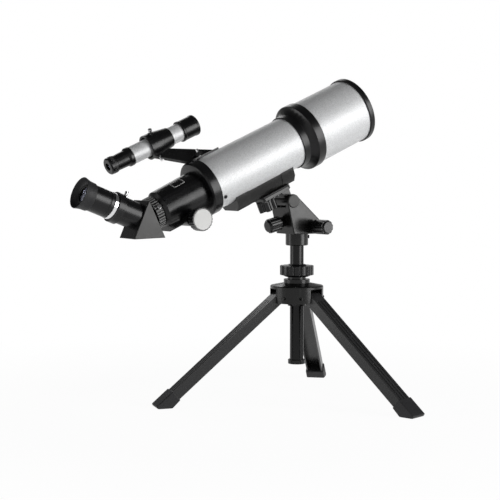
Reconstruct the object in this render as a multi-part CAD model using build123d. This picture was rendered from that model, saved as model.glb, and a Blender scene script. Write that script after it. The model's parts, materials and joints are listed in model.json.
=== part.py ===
from build123d import *
from math import asin, atan2, copysign, cos, pi, radians, sin, sqrt, tan
import os

# Table-top refractor telescope on a folding tripod. Millimetres, +Z up, +X along the telescope's
# heading, feet on z = 0. Each piece is written to its own STEP file in parts/.

os.makedirs("parts", exist_ok=True)

# ---- where things stand ----
column_x = 95.6                 # centre column from the middle of the footprint
column_y = 23.1
tube_altitude = 23.5            # tube above the horizontal
first_leg_heading = 45.3        # first leg, measured from the telescope's heading
leg_count = 3

# ---- clearances ----
running_gap = 0.08              # radial, shaft in its own bearing
seat_gap = 0.03                 # radial, pieces that seat in each other and don't move
free_gap = 0.4                  # between faces of pieces that move past each other
face_gap = 0.3                  # between a moving piece and the face beside it
overcut = 1.0                   # how far a cutting shape runs past what it cuts

# ---- hub ----
hub_radius = 37.0
hub_bottom = 137.0              # above the floor
hub_wall_height = 23.5
hub_crown_rise = 3.5            # crown above the walls
hub_slot_height = 19.5
hub_edge_round = 1.2
flange_radius = 18.2
flange_thickness = 5.0
neck_radius = 12.6
neck_height = 16.0
sleeve_drop = 5.0               # guide sleeve below the hub
leg_pivot_radius = 28.0
leg_pivot_rise = 7.5            # above the bottom of the hub
leg_pin_radius = 2.2
leg_pin_inset = 0.7

# ---- legs ----
leg_width = 24.0
leg_depth = 13.4
leg_wall = 2.2
leg_end_height = 3.58           # where the leg's middle line ends, over the sole
leg_groove_count = 3
leg_groove_width = 1.6
leg_groove_depth = 0.6
leg_head_round = 6.7
leg_foot_radius = 193.0         # middle of the sole from the column
foot_wall = 1.6
foot_length = 27.0
foot_sole_length = 25.0
foot_toe_height = 6.0

# ---- centre column ----
column_radius = 9.5
column_drop = 84.0              # below the hub
column_length = 175.0
column_groove_width = 2.0
column_groove_depth = 1.2
column_groove_heading = -60.0
end_cap_radius = 12.0
end_cap_height = 6.0
end_cap_floor = 2.5

# ---- lock nut ----
nut_radius = 23.4
nut_flutes = 16
nut_flute_radius = 2.0
nut_rise = 3.4                  # above the hub's flange
nut_skirt_radius = 16.0
nut_skirt_height = 2.4
nut_height = 15.4
nut_lip_radius = 14.0
nut_lip_height = 1.8

# ---- pan and tilt head ----
collar_radius = 15.7
collar_overlap = 12.0           # collar round the top of the column
collar_height = 16.0
collar_edge = 1.0
collar_screw_heading = -33.0
collar_screw_radius = 2.4
collar_screw_drop = 4.0         # below the top of the collar
collar_screw_head = 1.6
spigot_radius = 8.0
spigot_height = 30.0
head_half_width = 21.5
head_front = 28.5
head_front_height = 15.5
head_round = 1.6
rear_lean = 13.7
pivot_x = -21.0
pivot_rise = 45.7               # tilt pivot over the bottom of the head
ear_radius = 9.6
ear_thickness = 6.2
pivot_pin_radius = 3.0
pivot_cap_radius = 9.2
pivot_cap_height = 1.8
barrel_radius = 9.2

# ---- head knobs ----
knob_radius = 10.0
knob_neck_radius = 6.6
knob_neck_length = 7.0
knob_flutes = 12
knob_flute_radius = 1.1
knob_crown = 3.0
lock_screw_radius = 3.0
pan_knob_length = 26.5
pan_line_rise = 22.4            # where the knob's axis meets the column's, over the head's bottom
tilt_knob_length = 34.0
tilt_knob_x = 13.0
tilt_knob_rise = 10.2
tilt_screw_depth = 10.0

# ---- camera plate (tube frame: heights are below the tube axis, places run along it) ----
tube_over_pivot = 70.49
pivot_along = -53.55
plate_top = 48.7
plate_thickness = 4.2
plate_rear = -96.5
plate_front = -50.0
plate_half_width = 20.0
plate_round = 3.0
lip_height = 1.2                # under the cradle
lip_thickness = 3.2
plate_neck_length = 12.0
plate_neck_half_width = 12.0
pad_thickness = 1.6
pad_margin = 1.5
camera_screw_at = -82.5
camera_screw_radius = 3.175
camera_screw_reach = 7.0
camera_knob_radius = 14.5
camera_knob_height = 14.5
camera_knob_lobes = 6
camera_knob_lobe_radius = 4.0
camera_knob_boss_radius = 7.0
camera_knob_boss_height = 2.6

# ---- tube cradle ----
cradle_rear = -138.0
cradle_front = -38.0
cradle_bottom_half_width = 21.0
cradle_top_half_width = 23.6
cradle_lip = 27.0               # side wall tops, below the tube axis
cradle_block_length = 22.0      # thicker end blocks
cradle_block_extra = 1.0

# ---- tube, cell and dew shield ----
tube_radius = 36.0
tube_wall = 1.2
tube_rear = -170.0
tube_front = -8.0
aperture_radius = 35.0
cell_ring_radius = 37.8
cell_ring_rear = -18.0
cell_flange_rear = 0.0
cell_flange_front = 12.6
cell_flange_radius = 46.8
cell_spigot_length = 9.0
cell_rear = -30.0
cell_step = 2.0
lens_seat = -3.0
lens_edge = 3.0
crown_bulge = 3.4
flint_bulge = 2.4
lens_air = 0.4
retainer_length = 3.0
retainer_lip = 2.0
dew_shield_radius = 44.6
dew_shield_wall = 1.2
dew_shield_front = 97.0
rim_radius = 46.7
rim_front = 105.4
rim_lip = 2.2
rim_overlap = 6.0

# ---- rear collar and focuser ----
rear_collar_radius = 38.0
rear_collar_front = -162.0
rear_collar_rear = -174.4
rear_collar_bevel = 1.8
rear_wall = 3.0
tube_screw_radius = 2.6
tube_screw_head = 1.2
tube_screw_at = -157.0
tube_screw_heading = 118.0
tube_screw_count = 3
housing_front = -178.0
housing_rear = -242.0
housing_front_radius = 26.8
housing_rear_radius = 25.0
housing_bevel = 4.0
drawtube_radius = 19.0
drawtube_wall = 2.1
drawtube_front = -146.0
drawtube_rear = -254.0
barrel_fit_radius = 15.875      # 1.25 inch focuser standard
end_ring_radius = 21.5
end_ring_front = -243.5
end_ring_ribs = 48
end_ring_rib_radius = 0.7
end_screw_at = -247.0
end_screw_heading = 66.0
end_screw_radius = 1.6
end_screw_head_radius = 2.8
end_screw_head = 2.6
rack_flat = 17.3
rack_width = 6.0
rack_base = 0.8
rack_front = -148.0
rack_rear = -233.0
gear_module = 1.0
pinion_teeth = 10
pressure_angle = 25.0
tooth_addendum = 0.8
tooth_dedendum = 1.0
gear_backlash = 0.14
pinion_half_width = 2.9
pinion_shaft_radius = 2.4
pinion_at = -211.0
rack_box_half_width = 12.0
rack_box_bottom = 29.5
rack_box_rear = -240.0
rack_box_front = -184.0
pinion_boss_radius = 9.8
pinion_boss_reach = 27.0
focus_knob_radius = 15.0
focus_knob_thickness = 11.0
focus_knob_flutes = 24
focus_knob_flute_radius = 0.7
focus_knob_face = 51.0
focus_cap_radius = 13.7
focus_cap_height = 0.8
tension_screw_at = -235.5
tension_screw_heading = 54.0
tension_screw_radius = 2.6
tension_screw_head = 2.0

# ---- star diagonal ----
diagonal_at = -266.0            # where the two light paths cross
diagonal_turn = 45.0
diagonal_face = 9.0             # crossing to each end face
diagonal_base = 22.6            # crossing to the mirror side
diagonal_half_width = 16.0
diagonal_wall = 2.4
side_plate_thickness = 2.0
side_plate_round = 2.5
mirror_thickness = 3.0
nose_length = 24.0
nose_wall = 1.4
socket_radius = 17.8
socket_ring_radius = 20.0
socket_ring_start = 36.5
socket_end = 46.0
thumb_screw_at = 31.5
thumb_screw_radius = 1.6
thumb_head_radius = 3.6
thumb_head_height = 5.0
thumb_stem = 2.4

# ---- eyepiece ----
eyepiece_shoulder_radius = 17.7
eyepiece_shoulder = 5.6
eyepiece_body_radius = 17.1
eyepiece_body_end = 90.0
eyepiece_barrel_length = 23.0
eyepiece_wall = 1.5
eye_cup_end = 101.0
eye_cup_radius = 20.4
eye_cup_wall = 1.6
eye_cup_overlap = 2.5
eye_cup_opening = 14.0
eye_lens_radius = 9.0
eye_lens_thickness = 4.0
field_lens_thickness = 4.0

# ---- finder ----
finder_angle = 32.0             # round the tube from its top, to the left
finder_offset = 84.0            # finder axis from the tube axis
finder_radius = 12.0
finder_wall = 1.0
finder_tube_rear = -232.0
finder_tube_front = -122.0
finder_cap_rear = -146.0
finder_cap_front = -115.0
finder_cap_radius = 14.4
finder_lens_at = -126.0
finder_lens_thickness = 3.0
finder_stop_radius = 12.8
finder_stop_length = 5.0
finder_body_radius = 10.4
finder_body_rear = -252.0
finder_eye_radius = 11.4
finder_eye_rear = -263.0
finder_eye_bore = 5.0
bracket_rear = -200.0
bracket_front = -164.0
bracket_rear_radius = 17.0
bracket_front_radius = 13.6
bracket_step = -186.0
bracket_bore_radius = 14.4
bracket_seat_length = 6.0
bracket_boss_radius = 3.4
bracket_boss_top = 19.0
adjuster_heading = -62.0        # first adjusting screw, round the finder from its outer side
adjuster_count = 3
adjuster_at = -192.0
adjuster_radius = 1.6
adjuster_head_radius = 2.6
adjuster_head_height = 3.0
adjuster_top = 22.6
arm_thickness = 6.5
foot_strip_front = -119.0
foot_strip_rear = -160.0
foot_strip_thickness = 2.4
foot_strip_half_angle = 21.0
stud_radius = 2.0
stud_height = 13.0
stud_at = -147.0
stud_angle = 13.5
arm_root_front = -180.0
arm_foot_front = -120.0
knurl_radius = 4.6
knurl_height = 5.5
knurl_count = 14

# ---- heights that follow from the sizes above ----
hub_rim_top = hub_bottom + hub_wall_height
hub_crown_top = hub_rim_top + hub_crown_rise
flange_top = hub_crown_top + flange_thickness
neck_top = flange_top + neck_height
leg_pivot_height = hub_bottom + leg_pivot_rise
column_bottom = hub_bottom - column_drop
column_top = column_bottom + column_length
collar_bottom = column_top - collar_overlap
collar_top = collar_bottom + collar_height
spigot_top = collar_top + spigot_height
head_bottom = collar_top + face_gap
pivot_z = head_bottom + pivot_rise

# ---- frames: each local frame has its own Z along the axis of the pieces built in it ----
slant = radians(tube_altitude)
turn = radians(diagonal_turn)
stand = Pos(column_x, column_y, 0)
tube_x = pivot_x - tube_over_pivot * sin(slant) - pivot_along * cos(slant)
tube_z = pivot_z + tube_over_pivot * cos(slant) - pivot_along * sin(slant)
tube_frame = stand * Plane(
    origin=(tube_x, 0, tube_z),
    x_dir=(-sin(slant), 0, cos(slant)),
    z_dir=(cos(slant), 0, sin(slant)),
).location
socket_line = Plane(
    origin=(0, 0, diagonal_at),
    x_dir=(cos(turn), 0, sin(turn)),
    z_dir=(sin(turn), 0, -cos(turn)),
).location
diagonal_frame = tube_frame * socket_line
finder_side = tube_frame * Rot(0, 0, -finder_angle)
finder_frame = finder_side * Pos(finder_offset, 0, 0)
right_side = Rot(-90, 0, 0)     # turns local Z to local +Y
left_side = Rot(90, 0, 0)       # turns local Z to local -Y


# ---- helpers ----
def save(name, shape):
    export_step(shape, f"parts/{name}.step")


def span(low, high):
    return (low + high) / 2


def rod(radius, low, high):
    return Pos(0, 0, span(low, high)) * Cylinder(radius, high - low)


def tube(outer, inner, low, high):
    return rod(outer, low, high) - rod(inner, low, high)


def block(x_range, y_range, z_range):
    size = [high - low for low, high in (x_range, y_range, z_range)]
    return Pos(span(*x_range), span(*y_range), span(*z_range)) * Box(*size)


def turned(*outline):
    """A closed (radius, height) outline turned about Z."""
    return revolve(Plane.XZ * make_face(Polyline(*outline, close=True)), Axis.Z)


def profile(outline, half_width):
    """A face in local XZ given its thickness both ways along Y."""
    return extrude(Plane.XZ * outline, half_width, both=True)


def fluted(radius, flutes, flute_radius, low, high):
    section = Circle(radius) - PolarLocations(radius, flutes) * RegularPolygon(flute_radius, 6)
    return Pos(0, 0, low) * extrude(section, high - low)


def group(pieces):
    return Compound(children=[piece.solid() for piece in pieces])


# ---- hub: crown, walls between the leg slots, guide sleeve, neck for the lock nut ----
leg_headings = [first_leg_heading + 360 / leg_count * number for number in range(leg_count)]
slot_half_width = leg_width / 2 + face_gap
sleeve_bottom = hub_bottom - sleeve_drop
column_bore = column_radius + running_gap
hub = turned(
    (column_bore, sleeve_bottom),
    (neck_radius, sleeve_bottom),
    (neck_radius, hub_bottom),
    (hub_radius, hub_bottom),
    (hub_radius, hub_rim_top - hub_edge_round),
    (hub_radius - hub_edge_round, hub_rim_top),
    (flange_radius, hub_crown_top),
    (flange_radius, flange_top),
    (neck_radius, flange_top),
    (neck_radius, neck_top),
    (column_bore, neck_top),
)
slot_inner = leg_pivot_radius - leg_head_round - free_gap
leg_slot = block(
    (slot_inner, hub_radius + overcut),
    (-slot_half_width, slot_half_width),
    (hub_bottom - overcut, hub_bottom + hub_slot_height),
)
pin_line = Pos(leg_pivot_radius, 0, leg_pivot_height) * Rot(90, 0, 0)
leg_slot += pin_line * Cylinder(leg_pin_radius + seat_gap, 2 * hub_radius)
for heading in leg_headings:
    hub -= Rot(0, 0, heading) * leg_slot
column_key = Rot(0, 0, column_groove_heading) * block(
    (column_radius - column_groove_depth + free_gap / 2, column_bore + overcut),
    (-column_groove_width / 2 + running_gap, column_groove_width / 2 - running_gap),
    (sleeve_bottom, neck_top),
)
save("hub", stand * (hub + column_key))

pin_reach = sqrt(hub_radius**2 - leg_pivot_radius**2) - leg_pin_inset
leg_pin = pin_line * rod(leg_pin_radius, -pin_reach, pin_reach)
save("leg_pivot_pins", stand * group([Rot(0, 0, heading) * leg_pin for heading in leg_headings]))

# ---- legs: ribbed channels that hinge in the hub, each with a rubber boot ----
leg_run = leg_foot_radius - leg_pivot_radius
leg_drop = atan2(leg_pivot_height - leg_end_height, leg_run)
leg_length = leg_run / cos(leg_drop)
boot_start = leg_length - foot_length
leg_end = leg_length - foot_wall * 2
inner_width = leg_width - 2 * leg_wall
leg_section = Rectangle(leg_depth, leg_width)
leg_section -= Pos(-leg_wall / 2, 0) * Rectangle(leg_depth - leg_wall, inner_width)
groove_pitch = inner_width / leg_groove_count
for number in range(leg_groove_count):
    groove_y = (number - (leg_groove_count - 1) / 2) * groove_pitch
    groove_at = Pos(leg_depth / 2, groove_y)
    leg_section -= groove_at * Rectangle(2 * leg_groove_depth, leg_groove_width)
leg_channel = Pos(0, 0, leg_head_round / 2) * extrude(leg_section, leg_end - leg_head_round / 2)
leg_head = Rot(90, 0, 0) * Cylinder(leg_head_round, leg_width)
leg_web = block((-leg_depth / 2, leg_depth / 2), (-leg_width / 2, leg_width / 2), (0, 2 * leg_head_round))
pin_bore = Rot(90, 0, 0) * Cylinder(leg_pin_radius + running_gap, leg_width + overcut)
leg = leg_channel + leg_head + leg_web - pin_bore

# The boot is drawn upright in the leg's own radial plane, so that its sole lies on the floor.
along_leg = Vector(cos(leg_drop), 0, -sin(leg_drop))
across_leg = Vector(sin(leg_drop), 0, cos(leg_drop))
leg_root = Vector(leg_pivot_radius, 0, leg_pivot_height)
boot_half = leg_depth / 2 + foot_wall
boot_top = leg_root + along_leg * boot_start + across_leg * boot_half
boot_under = leg_root + along_leg * boot_start - across_leg * boot_half
toe_run = (boot_top.Z - foot_toe_height) / sin(leg_drop)
boot_toe = boot_top + along_leg * toe_run
sole_front = leg_foot_radius + foot_sole_length / 2
sole_rear = leg_foot_radius - foot_sole_length / 2
boot_outline = make_face(Polyline(
    (boot_top.X, boot_top.Z),
    (boot_toe.X, boot_toe.Z),
    (sole_front, 0),
    (sole_rear, 0),
    (boot_under.X, boot_under.Z),
    close=True,
))
leg_place = Plane(origin=leg_root, x_dir=across_leg, z_dir=along_leg).location
seat_depth = leg_depth + 2 * seat_gap
seat_width = leg_width + 2 * seat_gap
leg_room = leg_place * Pos(0, 0, leg_end / 2) * Box(seat_depth, seat_width, leg_end + 2 * seat_gap)
boot = profile(boot_outline, leg_width / 2 + foot_wall) - leg_room
for number, heading in enumerate(leg_headings, 1):
    leg_stand = stand * Rot(0, 0, heading)
    save(f"leg_{number}", leg_stand * leg_place * leg)
    save(f"leg_{number}_rubber_foot", leg_stand * boot)

# ---- centre column with its key groove and end cap ----
column_groove = Rot(0, 0, column_groove_heading) * block(
    (column_radius - column_groove_depth, column_radius + overcut),
    (-column_groove_width / 2, column_groove_width / 2),
    (column_bottom, collar_bottom),
)
save("centre_column", stand * (rod(column_radius, column_bottom, column_top) - column_groove))
end_cap_bottom = column_bottom - end_cap_floor
end_cap = rod(end_cap_radius, end_cap_bottom, end_cap_bottom + end_cap_height)
end_cap -= rod(column_radius + seat_gap, column_bottom, column_top)
save("column_end_cap", stand * end_cap)

# ---- lock nut on the neck ----
nut_bottom = flange_top + nut_rise
nut_body_bottom = nut_bottom + nut_skirt_height
nut_top = nut_body_bottom + nut_height - nut_skirt_height
nut = fluted(nut_radius, nut_flutes, nut_flute_radius, nut_body_bottom, nut_top)
nut += turned(
    (0, nut_bottom),
    (nut_skirt_radius, nut_bottom),
    (nut_radius - nut_flute_radius, nut_body_bottom),
    (0, nut_body_bottom),
)
nut += turned(
    (0, nut_top),
    (nut_lip_radius, nut_top),
    (nut_lip_radius - nut_lip_height, nut_top + nut_lip_height),
    (0, nut_top + nut_lip_height),
)
nut -= rod(neck_radius + face_gap, nut_bottom, neck_top + face_gap)
nut -= rod(column_radius + free_gap, nut_bottom, nut_top + nut_lip_height)
save("column_lock_nut", stand * nut)

# ---- head collar fixed on the column, and the spigot that the head turns on ----
collar = turned(
    (0, collar_bottom),
    (collar_radius - collar_edge, collar_bottom),
    (collar_radius, collar_bottom + collar_edge),
    (collar_radius, collar_top),
    (spigot_radius, collar_top),
    (spigot_radius, spigot_top),
    (0, spigot_top),
)
collar -= rod(column_radius + seat_gap, collar_bottom, column_top)
screw_seat = Pos(0, 0, collar_top - collar_screw_drop) * Rot(0, 0, collar_screw_heading) * Rot(0, 90, 0)
collar_screw = rod(collar_screw_radius, collar_radius, collar_radius + collar_screw_head)
collar_screw += rod(collar_screw_radius / 2, column_radius + seat_gap, collar_radius)
collar -= screw_seat * rod(collar_screw_radius / 2 + seat_gap, column_radius, collar_radius + overcut)
save("head_collar", stand * collar)
save("collar_set_screw", stand * screw_seat * collar_screw)

# ---- head housing: a wedge between two ears, turning on the spigot ----
rear_tangent = radians(rear_lean)
rear_bottom_x = pivot_x - ear_radius / cos(rear_tangent) + (pivot_z - head_bottom) * tan(rear_tangent)
wedge = Polyline(
    (rear_bottom_x, head_bottom),
    (head_front, head_bottom),
    (head_front, head_bottom + head_front_height),
    close=True,
)
ear = Pos(pivot_x, pivot_z) * Circle(ear_radius)
head_outline = make_hull(wedge.edges() + ear.edges())
head = profile(head_outline, head_half_width)
head_sides = head.faces().sort_by(Axis.Y)
head = fillet(head_sides[0].edges() + head_sides[-1].edges(), head_round)
fork_half = head_half_width - ear_thickness
fork_floor = pivot_z - barrel_radius - free_gap
pivot_line = Pos(pivot_x, 0, pivot_z) * Rot(90, 0, 0)
fork_span = (pivot_x - 2 * ear_radius, head_front)
head -= block(fork_span, (-fork_half, fork_half), (pivot_z, pivot_z + 2 * ear_radius))
head -= block(fork_span, (-fork_half, fork_half), (fork_floor, pivot_z))
head -= pivot_line * Cylinder(pivot_pin_radius + seat_gap, 2 * head_half_width)
head -= rod(spigot_radius + running_gap, head_bottom, spigot_top + face_gap)
pan_screw_line = Pos(0, 0, head_bottom + pan_line_rise) * Rot(0, -90 - rear_lean, 0)
pan_face = pan_line_rise * sin(rear_tangent) - rear_bottom_x * cos(rear_tangent)
pan_screw_end = (spigot_radius + free_gap + lock_screw_radius * sin(rear_tangent)) / cos(rear_tangent)
head -= pan_screw_line * rod(lock_screw_radius + running_gap, spigot_radius, pan_face + overcut)
tilt_screw_line = Pos(tilt_knob_x, 0, head_bottom + tilt_knob_rise) * left_side
tilt_screw_end = head_half_width - tilt_screw_depth
tilt_screw_hole = rod(lock_screw_radius + running_gap, tilt_screw_end - face_gap, head_half_width + overcut)
head -= tilt_screw_line * tilt_screw_hole
save("head_housing", stand * head)

pivot_pin = rod(pivot_pin_radius, -head_half_width, head_half_width)
save("tilt_pivot_pin", stand * pivot_line * pivot_pin)
pivot_cap = turned(
    (0, 0),
    (pivot_cap_radius, 0),
    (pivot_cap_radius, pivot_cap_height / 2),
    (pivot_cap_radius - pivot_cap_height / 2, pivot_cap_height),
    (0, pivot_cap_height),
)
pivot_cap = Pos(0, 0, head_half_width) * pivot_cap
save("pivot_caps", stand * pivot_line * group([Rot(flip, 0, 0) * pivot_cap for flip in (0, 180)]))


def lock_knob(length):
    """A fluted knob: neck at height 0, domed end at its length."""
    grip = fluted(knob_radius, knob_flutes, knob_flute_radius, knob_neck_length, length - knob_crown)
    crown = turned(
        (0, length - knob_crown),
        (knob_radius - knob_flute_radius, length - knob_crown),
        (knob_radius - knob_flute_radius - knob_crown / 2, length),
        (0, length),
    )
    neck = Cone(knob_neck_radius, knob_radius - knob_flute_radius, knob_neck_length)
    return grip + crown + Pos(0, 0, knob_neck_length / 2) * neck


pan_knob_start = pan_face + face_gap
pan_knob = Pos(0, 0, pan_knob_start) * lock_knob(pan_knob_length)
pan_knob += rod(lock_screw_radius, pan_screw_end, pan_knob_start)
save("pan_lock_knob", stand * pan_screw_line * pan_knob)
tilt_knob_start = head_half_width + face_gap
tilt_knob = Pos(0, 0, tilt_knob_start) * lock_knob(tilt_knob_length)
tilt_knob += rod(lock_screw_radius, tilt_screw_end, tilt_knob_start)
save("tilt_lock_knob", stand * tilt_screw_line * tilt_knob)

# ---- camera plate with the tilt barrel under its front end, and its pad ----
barrel_half = fork_half - face_gap
plate_length = plate_front - plate_rear
plate_at = Pos(-plate_top - plate_thickness / 2, 0, span(plate_rear, plate_front))
plate = plate_at * Box(plate_thickness, 2 * plate_half_width, plate_length)
plate = fillet(plate.edges().filter_by(Axis.X), plate_round)
plate += block(
    (-plate_top - plate_thickness, -plate_top + lip_height),
    (-plate_half_width + plate_round, plate_half_width - plate_round),
    (plate_front - lip_thickness / 2, plate_front + lip_thickness / 2),
)
barrel_line = Pos(-tube_over_pivot, 0, pivot_along) * Rot(90, 0, 0)
plate += block(
    (-tube_over_pivot, -plate_top - plate_thickness),
    (-plate_neck_half_width, plate_neck_half_width),
    (pivot_along - plate_neck_length / 2, pivot_along + plate_neck_length / 2),
)
plate += barrel_line * rod(barrel_radius, -barrel_half, barrel_half)
plate -= barrel_line * Cylinder(pivot_pin_radius + running_gap, 2 * head_half_width)
camera_line = Pos(0, 0, camera_screw_at) * Rot(0, -90, 0)      # local Z points down from the tube
plate_bottom = plate_top + plate_thickness
plate -= camera_line * rod(camera_screw_radius + free_gap, plate_top - overcut, plate_bottom + overcut)
save("camera_plate", tube_frame * plate)

pad_top = plate_top - pad_thickness
pad = block(
    (-plate_top, -pad_top),
    (-plate_half_width + pad_margin, plate_half_width - pad_margin),
    (plate_rear + pad_margin, plate_front - lip_thickness),
)
pad -= camera_line * rod(camera_screw_radius + free_gap, pad_top - overcut, plate_top + overcut)
save("camera_plate_pad", tube_frame * pad)

knob_top = plate_bottom + face_gap
knob_body_top = knob_top + camera_knob_boss_height
lobe_ring = camera_knob_radius - camera_knob_lobe_radius
lobe_section = Circle(lobe_ring)
lobe_section += PolarLocations(lobe_ring, camera_knob_lobes) * Circle(camera_knob_lobe_radius)
camera_knob = Pos(0, 0, knob_body_top) * extrude(lobe_section, camera_knob_height)
camera_knob += rod(camera_knob_boss_radius, knob_top, knob_body_top)
camera_knob += rod(camera_screw_radius, pad_top - camera_screw_reach, knob_top)
save("camera_screw_knob", tube_frame * camera_line * camera_knob)

# ---- cradle between the pad and the tube ----
cradle_section = make_face(Polyline(
    (-pad_top, -cradle_bottom_half_width),
    (-cradle_lip, -cradle_top_half_width),
    (-cradle_lip, cradle_top_half_width),
    (-pad_top, cradle_bottom_half_width),
    close=True,
))
end_section = make_face(Polyline(
    (-pad_top, -cradle_bottom_half_width - cradle_block_extra),
    (-cradle_lip + cradle_block_extra, -cradle_top_half_width - cradle_block_extra),
    (-cradle_lip + cradle_block_extra, cradle_top_half_width + cradle_block_extra),
    (-pad_top, cradle_bottom_half_width + cradle_block_extra),
    close=True,
))
cradle = Pos(0, 0, cradle_rear) * extrude(cradle_section, cradle_front - cradle_rear)
cradle += Pos(0, 0, cradle_rear) * extrude(end_section, cradle_block_length)
cradle += Pos(0, 0, cradle_front - cradle_block_length) * extrude(end_section, cradle_block_length)
cradle -= rod(tube_radius + seat_gap, cradle_rear - overcut, cradle_front + overcut)
cradle -= camera_line * rod(camera_screw_radius + running_gap, tube_radius, pad_top + overcut)
save("tube_cradle", tube_frame * cradle)

# ---- main tube, objective cell and lenses ----
save("main_tube", tube_frame * tube(tube_radius, tube_radius - tube_wall, tube_rear, tube_front))

cell_bore = aperture_radius + seat_gap
cell_inside = tube_radius - tube_wall - seat_gap
cell_clear = aperture_radius - cell_step
dew_bore = dew_shield_radius - dew_shield_wall
cell_top = cell_flange_front + cell_spigot_length
cell = turned(
    (cell_clear, cell_rear),
    (cell_inside, cell_rear),
    (cell_inside, tube_front + seat_gap),
    (tube_radius + seat_gap, tube_front + seat_gap),
    (tube_radius + seat_gap, cell_ring_rear),
    (cell_ring_radius, cell_ring_rear),
    (cell_ring_radius, tube_front),
    (span(cell_ring_radius, cell_flange_radius), span(tube_front, cell_flange_rear) + cell_step),
    (cell_flange_radius, cell_flange_rear),
    (cell_flange_radius, cell_flange_front),
    (dew_bore - seat_gap, cell_flange_front),
    (dew_bore - seat_gap, cell_top),
    (cell_bore, cell_top),
    (cell_bore, lens_seat),
    (cell_clear, lens_seat),
)
save("objective_cell", tube_frame * cell)


def lens(radius, edge, rear_bulge, front_bulge, start):
    """A lens from its edge thickness and the bulge of each face; a hollow face has a negative bulge."""
    rear = start
    front = start + edge
    rear_pole = (0, rear - rear_bulge)
    front_pole = (0, front + front_bulge)
    outline = Line(rear_pole, front_pole)
    outline += ThreePointArc(front_pole, bulge_middle(radius, front, front_bulge), (radius, front))
    outline += Line((radius, front), (radius, rear))
    outline += ThreePointArc((radius, rear), bulge_middle(radius, rear, -rear_bulge), rear_pole)
    return revolve(Plane.XZ * make_face(outline), Axis.Z)


def bulge_middle(radius, height, bulge):
    """The point halfway out on the spherical face with this bulge."""
    sphere = (radius**2 + bulge**2) / (2 * bulge)
    half = radius / 2
    return (half, height + bulge - sphere + copysign(sqrt(sphere**2 - half**2), sphere))


flint_start = lens_seat + seat_gap
flint_front = flint_start + lens_edge
crown_start = flint_front + lens_air
save("flint_lens", tube_frame * lens(aperture_radius, lens_edge, -flint_bulge / 2, -flint_bulge, flint_start))
save("crown_lens", tube_frame * lens(aperture_radius, lens_edge, flint_bulge, crown_bulge, crown_start))
retainer_bore = aperture_radius - retainer_lip
crown_rise = crown_bulge * (1 - (retainer_bore / aperture_radius) ** 2)
retainer_start = crown_start + lens_edge + crown_rise + seat_gap
retainer = tube(aperture_radius, retainer_bore, retainer_start, retainer_start + retainer_length)
save("lens_retaining_ring", tube_frame * retainer)

# ---- dew shield and its rim ----
dew_front = dew_shield_front + rim_overlap / 2
save("dew_shield", tube_frame * tube(dew_shield_radius, dew_bore, cell_flange_front, dew_front))
rim_mouth = dew_bore - seat_gap - rim_lip / 2
rim = turned(
    (dew_shield_radius + seat_gap, dew_shield_front),
    (rim_radius - rim_lip / 4, dew_shield_front),
    (rim_radius, dew_shield_front + rim_lip / 2),
    (rim_radius, rim_front - rim_lip / 2),
    (rim_radius - rim_lip / 2, rim_front),
    (rim_mouth, rim_front),
    (rim_mouth, dew_shield_front - rim_overlap / 2),
    (dew_bore - seat_gap, dew_shield_front - rim_overlap / 2),
    (dew_bore - seat_gap, dew_front + seat_gap),
    (dew_shield_radius + seat_gap, dew_front + seat_gap),
)
save("dew_shield_rim", tube_frame * rim)

# ---- rear collar and the screws that hold the tube ----
housing_bore = drawtube_radius + running_gap
rack_pitch = rack_flat + rack_base + tooth_dedendum
rack_tip = rack_pitch + tooth_addendum
collar_bore = rack_tip + free_gap
rear_collar = turned(
    (tube_radius + seat_gap, rear_collar_front),
    (rear_collar_radius, rear_collar_front),
    (rear_collar_radius, rear_collar_rear),
    (rear_collar_radius - rear_collar_bevel, rear_collar_rear - rear_collar_bevel),
    (housing_front_radius, housing_front),
    (collar_bore, housing_front),
    (collar_bore, housing_front + rear_wall),
    (tube_radius + seat_gap, tube_rear - seat_gap),
)
save("rear_collar", tube_frame * rear_collar)

screw_turns = [tube_screw_heading + 360 / tube_screw_count * number for number in range(tube_screw_count)]
tube_screw = rod(tube_screw_radius, tube_radius + seat_gap, tube_radius + seat_gap + tube_screw_head)
save("tube_screws", tube_frame * Pos(0, 0, tube_screw_at) * group([
    Rot(0, 0, heading) * Rot(0, 90, 0) * tube_screw for heading in screw_turns
]))

# ---- focuser housing: conical body, rack box beneath, pinion bosses either side ----
pitch_radius = gear_module * pinion_teeth / 2
shaft_drop = rack_pitch + pitch_radius
tip_radius = pitch_radius + tooth_addendum
housing = turned(
    (0, housing_front),
    (housing_front_radius, housing_front),
    (housing_rear_radius, housing_rear + housing_bevel),
    (housing_rear_radius - housing_bevel, housing_rear),
    (0, housing_rear),
)
rack_box = block(
    (-rack_box_bottom, 0),
    (-rack_box_half_width, rack_box_half_width),
    (rack_box_rear, rack_box_front),
)
rack_box = fillet(rack_box.edges().filter_by(Axis.Z).sort_by(Axis.X)[:2], housing_bevel / 2)
shaft_line = Pos(-shaft_drop, 0, pinion_at) * right_side
bosses = shaft_line * rod(pinion_boss_radius, -pinion_boss_reach, pinion_boss_reach)
housing += rack_box + bosses
housing -= rod(housing_bore, housing_rear - overcut, housing_front + overcut)
rack_slot = block(
    (-rack_tip - free_gap, 0),
    (-rack_width / 2 - free_gap, rack_width / 2 + free_gap),
    (housing_rear - overcut, housing_front + overcut),
)
pinion_room = Cylinder(tip_radius + free_gap, 2 * (pinion_half_width + free_gap))
housing -= rack_slot + shaft_line * pinion_room
housing -= shaft_line * Cylinder(pinion_shaft_radius + running_gap, 2 * pinion_boss_reach + overcut)
tension_line = Pos(0, 0, tension_screw_at) * Rot(0, 0, tension_screw_heading) * Rot(0, 90, 0)
housing -= tension_line * rod(tension_screw_radius / 2 + running_gap, 0, housing_front_radius)
save("focuser_housing", tube_frame * housing)

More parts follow.
